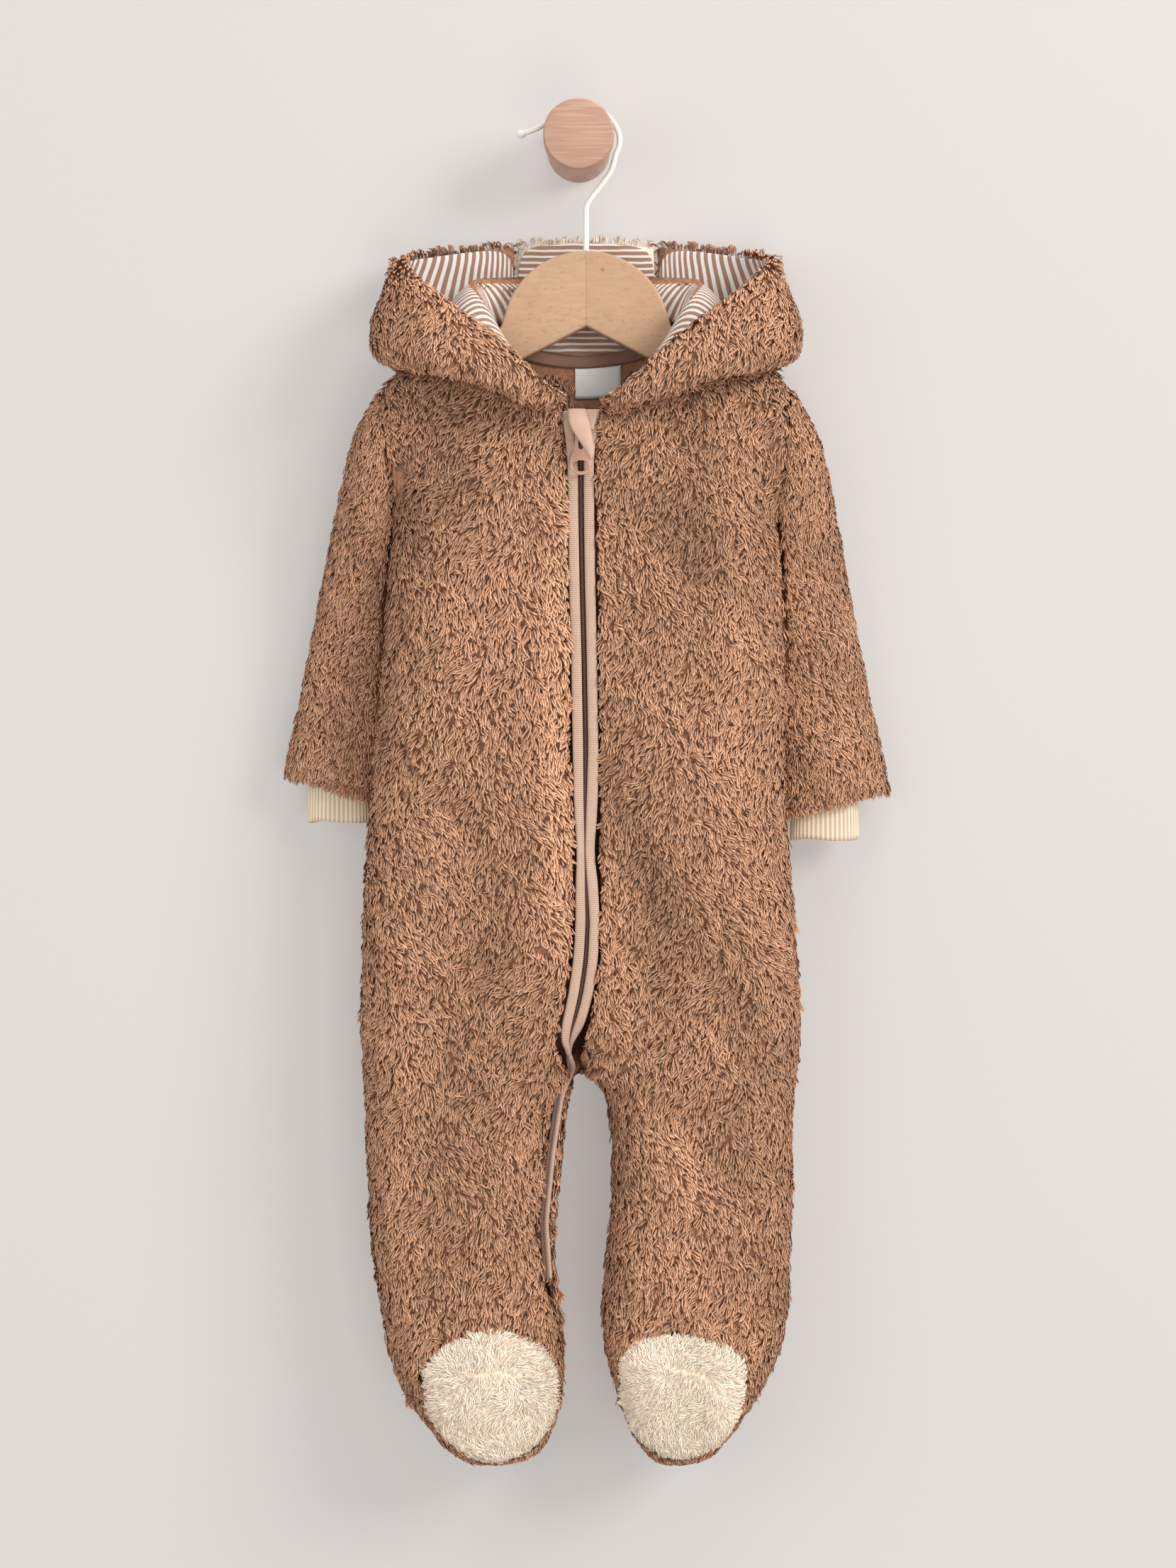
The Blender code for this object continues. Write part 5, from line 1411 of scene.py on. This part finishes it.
def add_loop(curve, route, closed):
    line = curve.splines.new("POLY")
    line.points.add(len(route) - 1)
    line.use_cyclic_u = closed
    for point, place in zip(line.points, route):
        point.co = (*place, 1)


def growth_rings(tree, stretched, base):
    """Level dark lines in the peg's face."""
    wave = math_node(tree, "SINE", math_node(tree, "MULTIPLY", noise(tree, 1.0, stretched, detail=1), 16.0))
    line = math_node(tree, "POWER", from_zero(tree, wave, 0.5), 3.0)
    return mix_colour(tree, math_node(tree, "MULTIPLY", line, 0.30), base, (0.30, 0.13, 0.075))


def beech_marks(tree, place, base):
    """Short slanting flecks, a darker left half, the joint between the halves and one knot."""
    x, _, z = axes_of(tree, place)
    from_joint = math_node(tree, "SUBTRACT", x, SUIT_X)
    away = math_node(tree, "ABSOLUTE", from_joint)
    mirrored = tree.nodes.new("ShaderNodeCombineXYZ")  # the two halves are cut from one board
    tree.links.new(away, mirrored.inputs[0])
    tree.links.new(z, mirrored.inputs[2])
    turned, drawn = node(tree, "ShaderNodeMapping"), node(tree, "ShaderNodeMapping")
    turned.inputs["Rotation"].default_value = (0, math.radians(-27), 0)
    drawn.inputs["Scale"].default_value = (150, 150, 680)
    flecks = node(tree, "ShaderNodeTexVoronoi", Scale=1.0)
    tree.links.new(mirrored.outputs[0], turned.inputs["Vector"])
    tree.links.new(turned.outputs[0], drawn.inputs["Vector"])
    tree.links.new(drawn.outputs[0], flecks.inputs["Vector"])
    near = math_node(tree, "SUBTRACT", 0.30, flecks.outputs["Distance"])
    spot = math_node(tree, "MULTIPLY", near, 5.0, clamp=True)
    chance = math_node(tree, "GREATER_THAN", noise(tree, 260, place), 0.47)
    knot = node(tree, "ShaderNodeVectorMath", operation="DISTANCE")
    tree.links.new(place, knot.inputs[0])
    knot.inputs[1].default_value = (SUIT_X + 9.5 * MM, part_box("hanger")[0].y, -76.2 * MM)
    off = math_node(tree, "MULTIPLY", knot.outputs["Value"], 1 / (1.7 * MM))
    for mask, strength, tint in (
        (math_node(tree, "MULTIPLY", spot, chance), 0.65, (0.36, 0.17, 0.075)),
        (math_node(tree, "GREATER_THAN", from_joint, 0.0), 0.13, (0.30, 0.16, 0.08)),
        (math_node(tree, "LESS_THAN", away, 0.28 * MM), 0.35, (0.25, 0.12, 0.06)),
        (math_node(tree, "SUBTRACT", 1.0, off, clamp=True), 0.8, (0.20, 0.09, 0.04)),
    ):
        base = mix_colour(tree, math_node(tree, "MULTIPLY", mask, strength), base, tint)
    return base


def wood_material(name, base, stretch, marks):
    """Fine straight grain with the marks of one wood."""
    made, tree, shader = new_material(name)
    place = object_place(tree)
    stretched = node(tree, "ShaderNodeMapping")
    stretched.inputs["Scale"].default_value = stretch
    tree.links.new(place, stretched.inputs["Vector"])
    grain = noise(tree, 1.0, stretched.outputs[0], detail=5, roughness=0.6)
    base = toned(tree, toned(tree, base, grain, 0.20), noise(tree, 30, place), 0.12)
    base = marks(tree, place if marks is beech_marks else stretched.outputs[0], base)
    tree.links.new(base, shader.inputs["Base Color"])
    finish_with(shader, Roughness=0.5, Coat_Weight=0.12, Coat_Roughness=0.35)
    bump(tree, shader, grain, 0.12, 0.2 * MM)
    return made


class PRAMSUIT_OT_hanger(bpy.types.Operator):
    """Build the beech hanger and its enamelled wire hook."""

    bl_idname = "pramsuit.hanger"
    bl_label = "Hanger"

    def execute(self, context):
        colours = settings().colours
        low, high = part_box("hanger")
        middle_y, thick, rounding = (low.y + high.y) / 2, high.y - low.y, 1.6 * MM
        crown = [(49 * math.sin(a), -65 - 49 * (1 - math.cos(a))) for a in np.radians(np.arange(0, 64, 3))]
        half = crown + list(HANGER_ARM)
        outline = half + [(0, -109)] + [(-x, z) for x, z in reversed(half[1:])]
        place = Matrix.Translation((SUIT_X, middle_y, 0))
        mesh = plate_mesh("hanger_beech", [outline], thick, rounding, place)
        shade_with_edges(mesh, 30)
        finish = wood_material("beech", colours.beech, (90, 90, 420), beech_marks)
        new_object("hanger_beech", mesh, finish, ("hanger",))
        self.add_hook(colours, middle_y)
        return {"FINISHED"}

    def add_hook(self, colours, middle_y):
        """The hook's wire and the ball on its tip."""
        arc = [
            (-4.4 + 20.7 * math.cos(a) * (1 + 0.16 * max(math.cos(a), 0)), 20.7 * math.sin(a))
            for a in np.radians(np.arange(-24, 145, 12))
        ]
        knots = [*HOOK_ROUTE, *arc, *HOOK_TAIL]
        route = spline(knots, np.linspace(0, len(knots) - 1, 190))
        curve = bpy.data.curves.new("hook_line", "CURVE")
        curve.dimensions, curve.bevel_depth, curve.bevel_resolution = "3D", 1.7 * MM, 5
        curve.use_fill_caps = True
        add_loop(curve, [(x * MM + SUIT_X, middle_y, z * MM) for x, z in route], False)
        mesh = curve_mesh("hook_wire", curve)
        mesh.shade_smooth()
        made, tree, shader = new_material("white_enamel")
        tree.links.new(toned(tree, colours.enamel, noise(tree, 200), 0.04), shader.inputs["Base Color"])
        finish_with(shader, Roughness=0.28, Coat_Weight=0.5)
        new_object("hook_wire", mesh, made, ("hanger_hook",))
        bm = bmesh.new()
        bmesh.ops.create_uvsphere(bm, u_segments=24, v_segments=14, radius=2.6 * MM)
        bmesh.ops.scale(bm, vec=(1.15, 1, 1), verts=bm.verts)
        bmesh.ops.translate(bm, vec=(-38.0 * MM + SUIT_X, middle_y, 3.6 * MM), verts=bm.verts)
        ball = mesh_of(bm, "hook_tip")
        ball.shade_smooth()
        new_object("hook_tip", ball, made)


PEG_HEAD = 18 * MM  # length of its head
PEG_NECK = 18.5 * MM  # radius behind its head


class PRAMSUIT_OT_peg(bpy.types.Operator):
    """Build the turned wooden peg."""

    bl_idname = "pramsuit.peg"
    bl_label = "Peg"

    def execute(self, context):
        colours = settings().colours
        low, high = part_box("wall_peg")
        radius, front = (high.x - low.x) / 2, low.y
        edge = 1.3 * MM
        profile = [(0, front), (radius * 0.5, front), (radius - edge, front)]
        profile += [
            (radius - edge + edge * math.sin(a), front + edge - edge * math.cos(a))
            for a in np.radians((20, 40, 60, 90))
        ]
        head = front + PEG_HEAD
        profile += [(radius, head - edge), (radius - 0.4 * MM, head - 0.3 * MM), (radius - edge, head)]
        profile += [(PEG_NECK, head), (PEG_NECK, 0), (0, 0)]
        bm = bmesh.new()
        verts = [bm.verts.new((r, y, 0)) for r, y in profile]
        edges = [bm.edges.new(pair) for pair in zip(verts, verts[1:])]
        bmesh.ops.spin(
            bm, geom=verts + edges, cent=(0, 0, 0), axis=(0, 1, 0), angle=2 * math.pi, steps=96,
            use_merge=True,
        )
        bmesh.ops.remove_doubles(bm, verts=bm.verts, dist=0.01 * MM)
        bmesh.ops.recalc_face_normals(bm, faces=bm.faces)
        mesh = mesh_of(bm, "peg_turned")
        shade_with_edges(mesh, 35)
        finish = wood_material("peg_wood", colours.peg, (22, 30, 420), growth_rings)
        new_object("peg_turned", mesh, finish, ("wall_peg",))
        return {"FINISHED"}


# ================================================================ stage
def area_light(name, place, target, size, power, tint):
    """A round soft light that looks from its place at its target."""
    data = bpy.data.lights.new(name, "AREA")
    data.shape, data.size, data.energy, data.color = "DISK", size, power, tint
    lamp = bpy.data.objects.new(name, data)
    lamp.location = place
    lamp.rotation_euler = (Vector(target) - Vector(place)).to_track_quat("-Z", "Y").to_euler()
    bpy.context.scene.collection.objects.link(lamp)


class PRAMSUIT_OT_stage(bpy.types.Operator):
    """Build the wall, the lights and the camera."""

    bl_idname = "pramsuit.stage"
    bl_label = "Stage"

    def execute(self, context):
        scene = context.scene
        self.add_wall(scene)
        area_light("window", (2.4, -2.0, 1.0), (0, 0, -0.35), 1.6, 80, (1.0, 0.985, 0.96))
        area_light("fill", (-1.9, -2.2, -0.1), (0, 0, -0.4), 2.4, 22, (0.97, 0.98, 1.0))
        area_light("low", (0.5, -2.2, -1.3), (0, -0.05, -0.7), 1.2, 13, (1.0, 0.98, 0.95))
        area_light("top", (0.3, -0.9, 1.7), (0, -0.05, -0.3), 1.5, 16, (1.0, 0.99, 0.97))
        world = bpy.data.worlds.new("room")
        scene.world = world
        world.use_nodes = True
        finish_with(world.node_tree.nodes["Background"], Color=(1.0, 0.985, 0.97, 1), Strength=0.42)

        camera = bpy.data.cameras.new("photo_camera")
        camera.lens, camera.sensor_width, camera.clip_end = 85, 36, 30
        obj = bpy.data.objects.new("photo_camera", camera)
        obj.location = (0.0055, -2.201, -0.376)
        obj.rotation_euler = (math.radians(90), 0, 0)
        scene.collection.objects.link(obj)
        scene.camera = obj
        scene.view_settings.view_transform = "Standard"
        return {"FINISHED"}

    def add_wall(self, scene):
        """The painted wall, clear from behind."""
        bm = bmesh.new()
        bmesh.ops.create_grid(bm, x_segments=1, y_segments=1, size=3.0)
        upright = Matrix.Rotation(math.radians(90), 3, "X")
        bmesh.ops.rotate(bm, verts=bm.verts, cent=(0, 0, 0), matrix=upright)
        bmesh.ops.translate(bm, vec=(0, 0.4 * MM, -0.4), verts=bm.verts)
        made, tree, shader = new_material("wall_paint")
        paint = toned(tree, settings().colours.wall, noise(tree, 1.5), 0.03)
        tree.links.new(paint, shader.inputs["Base Color"])
        room_light = (0.92, 0.885, 0.865, 1)  # what reaches the wall from all round
        finish_with(shader, Roughness=0.9, Emission_Color=room_light, Emission_Strength=0.325)
        bump(tree, shader, noise(tree, 900), 0.05, 0.1 * MM)
        geometry = tree.nodes.new("ShaderNodeNewGeometry")
        clear = tree.nodes.new("ShaderNodeBsdfTransparent")
        either = tree.nodes.new("ShaderNodeMixShader")
        tree.links.new(geometry.outputs["Backfacing"], either.inputs[0])
        tree.links.new(shader.outputs[0], either.inputs[1])
        tree.links.new(clear.outputs[0], either.inputs[2])
        tree.links.new(either.outputs[0], tree.nodes["Material Output"].inputs["Surface"])
        wall = bpy.data.objects.new("wall", mesh_of(bm, "wall"))
        scene.collection.objects.link(wall)
        wall.data.materials.append(made)
        wall.visible_shadow = False


# ================================================================ panel and registration
class PRAMSUIT_PT_panel(bpy.types.Panel):
    """Sizes, colours and one button for each piece."""

    bl_idname = "PRAMSUIT_PT_panel"
    bl_label = "Pramsuit"
    bl_space_type = "VIEW_3D"
    bl_region_type = "UI"
    bl_category = "Pramsuit"

    def draw(self, context):
        for group in (context.scene.pramsuit.pile, context.scene.pramsuit.colours):
            box = self.layout.box()
            for name in group.__annotations__:
                box.prop(group, name)
        for operator in BUILDERS:
            self.layout.operator(operator.bl_idname)


BUILDERS = (
    PRAMSUIT_OT_stage, PRAMSUIT_OT_peg, PRAMSUIT_OT_hanger, PRAMSUIT_OT_fleece, PRAMSUIT_OT_lining,
    PRAMSUIT_OT_cuffs, PRAMSUIT_OT_neck, PRAMSUIT_OT_zip,
)
CLASSES = (PileSettings, ColourSettings, PramsuitSettings, *BUILDERS, PRAMSUIT_PT_panel)


def register():
    for cls in CLASSES:
        bpy.utils.register_class(cls)
    bpy.types.Scene.pramsuit = bpy.props.PointerProperty(type=PramsuitSettings)


def unregister():
    del bpy.types.Scene.pramsuit
    for cls in reversed(CLASSES):
        bpy.utils.unregister_class(cls)


def main():
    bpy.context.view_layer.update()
    register()
    bpy.ops.pramsuit.stage()
    bpy.ops.pramsuit.peg()
    bpy.ops.pramsuit.hanger()
    bpy.ops.pramsuit.fleece()
    bpy.ops.pramsuit.lining()
    bpy.ops.pramsuit.cuffs()
    bpy.ops.pramsuit.neck()
    bpy.ops.pramsuit.zip()


if __name__ == "__main__":
    main()
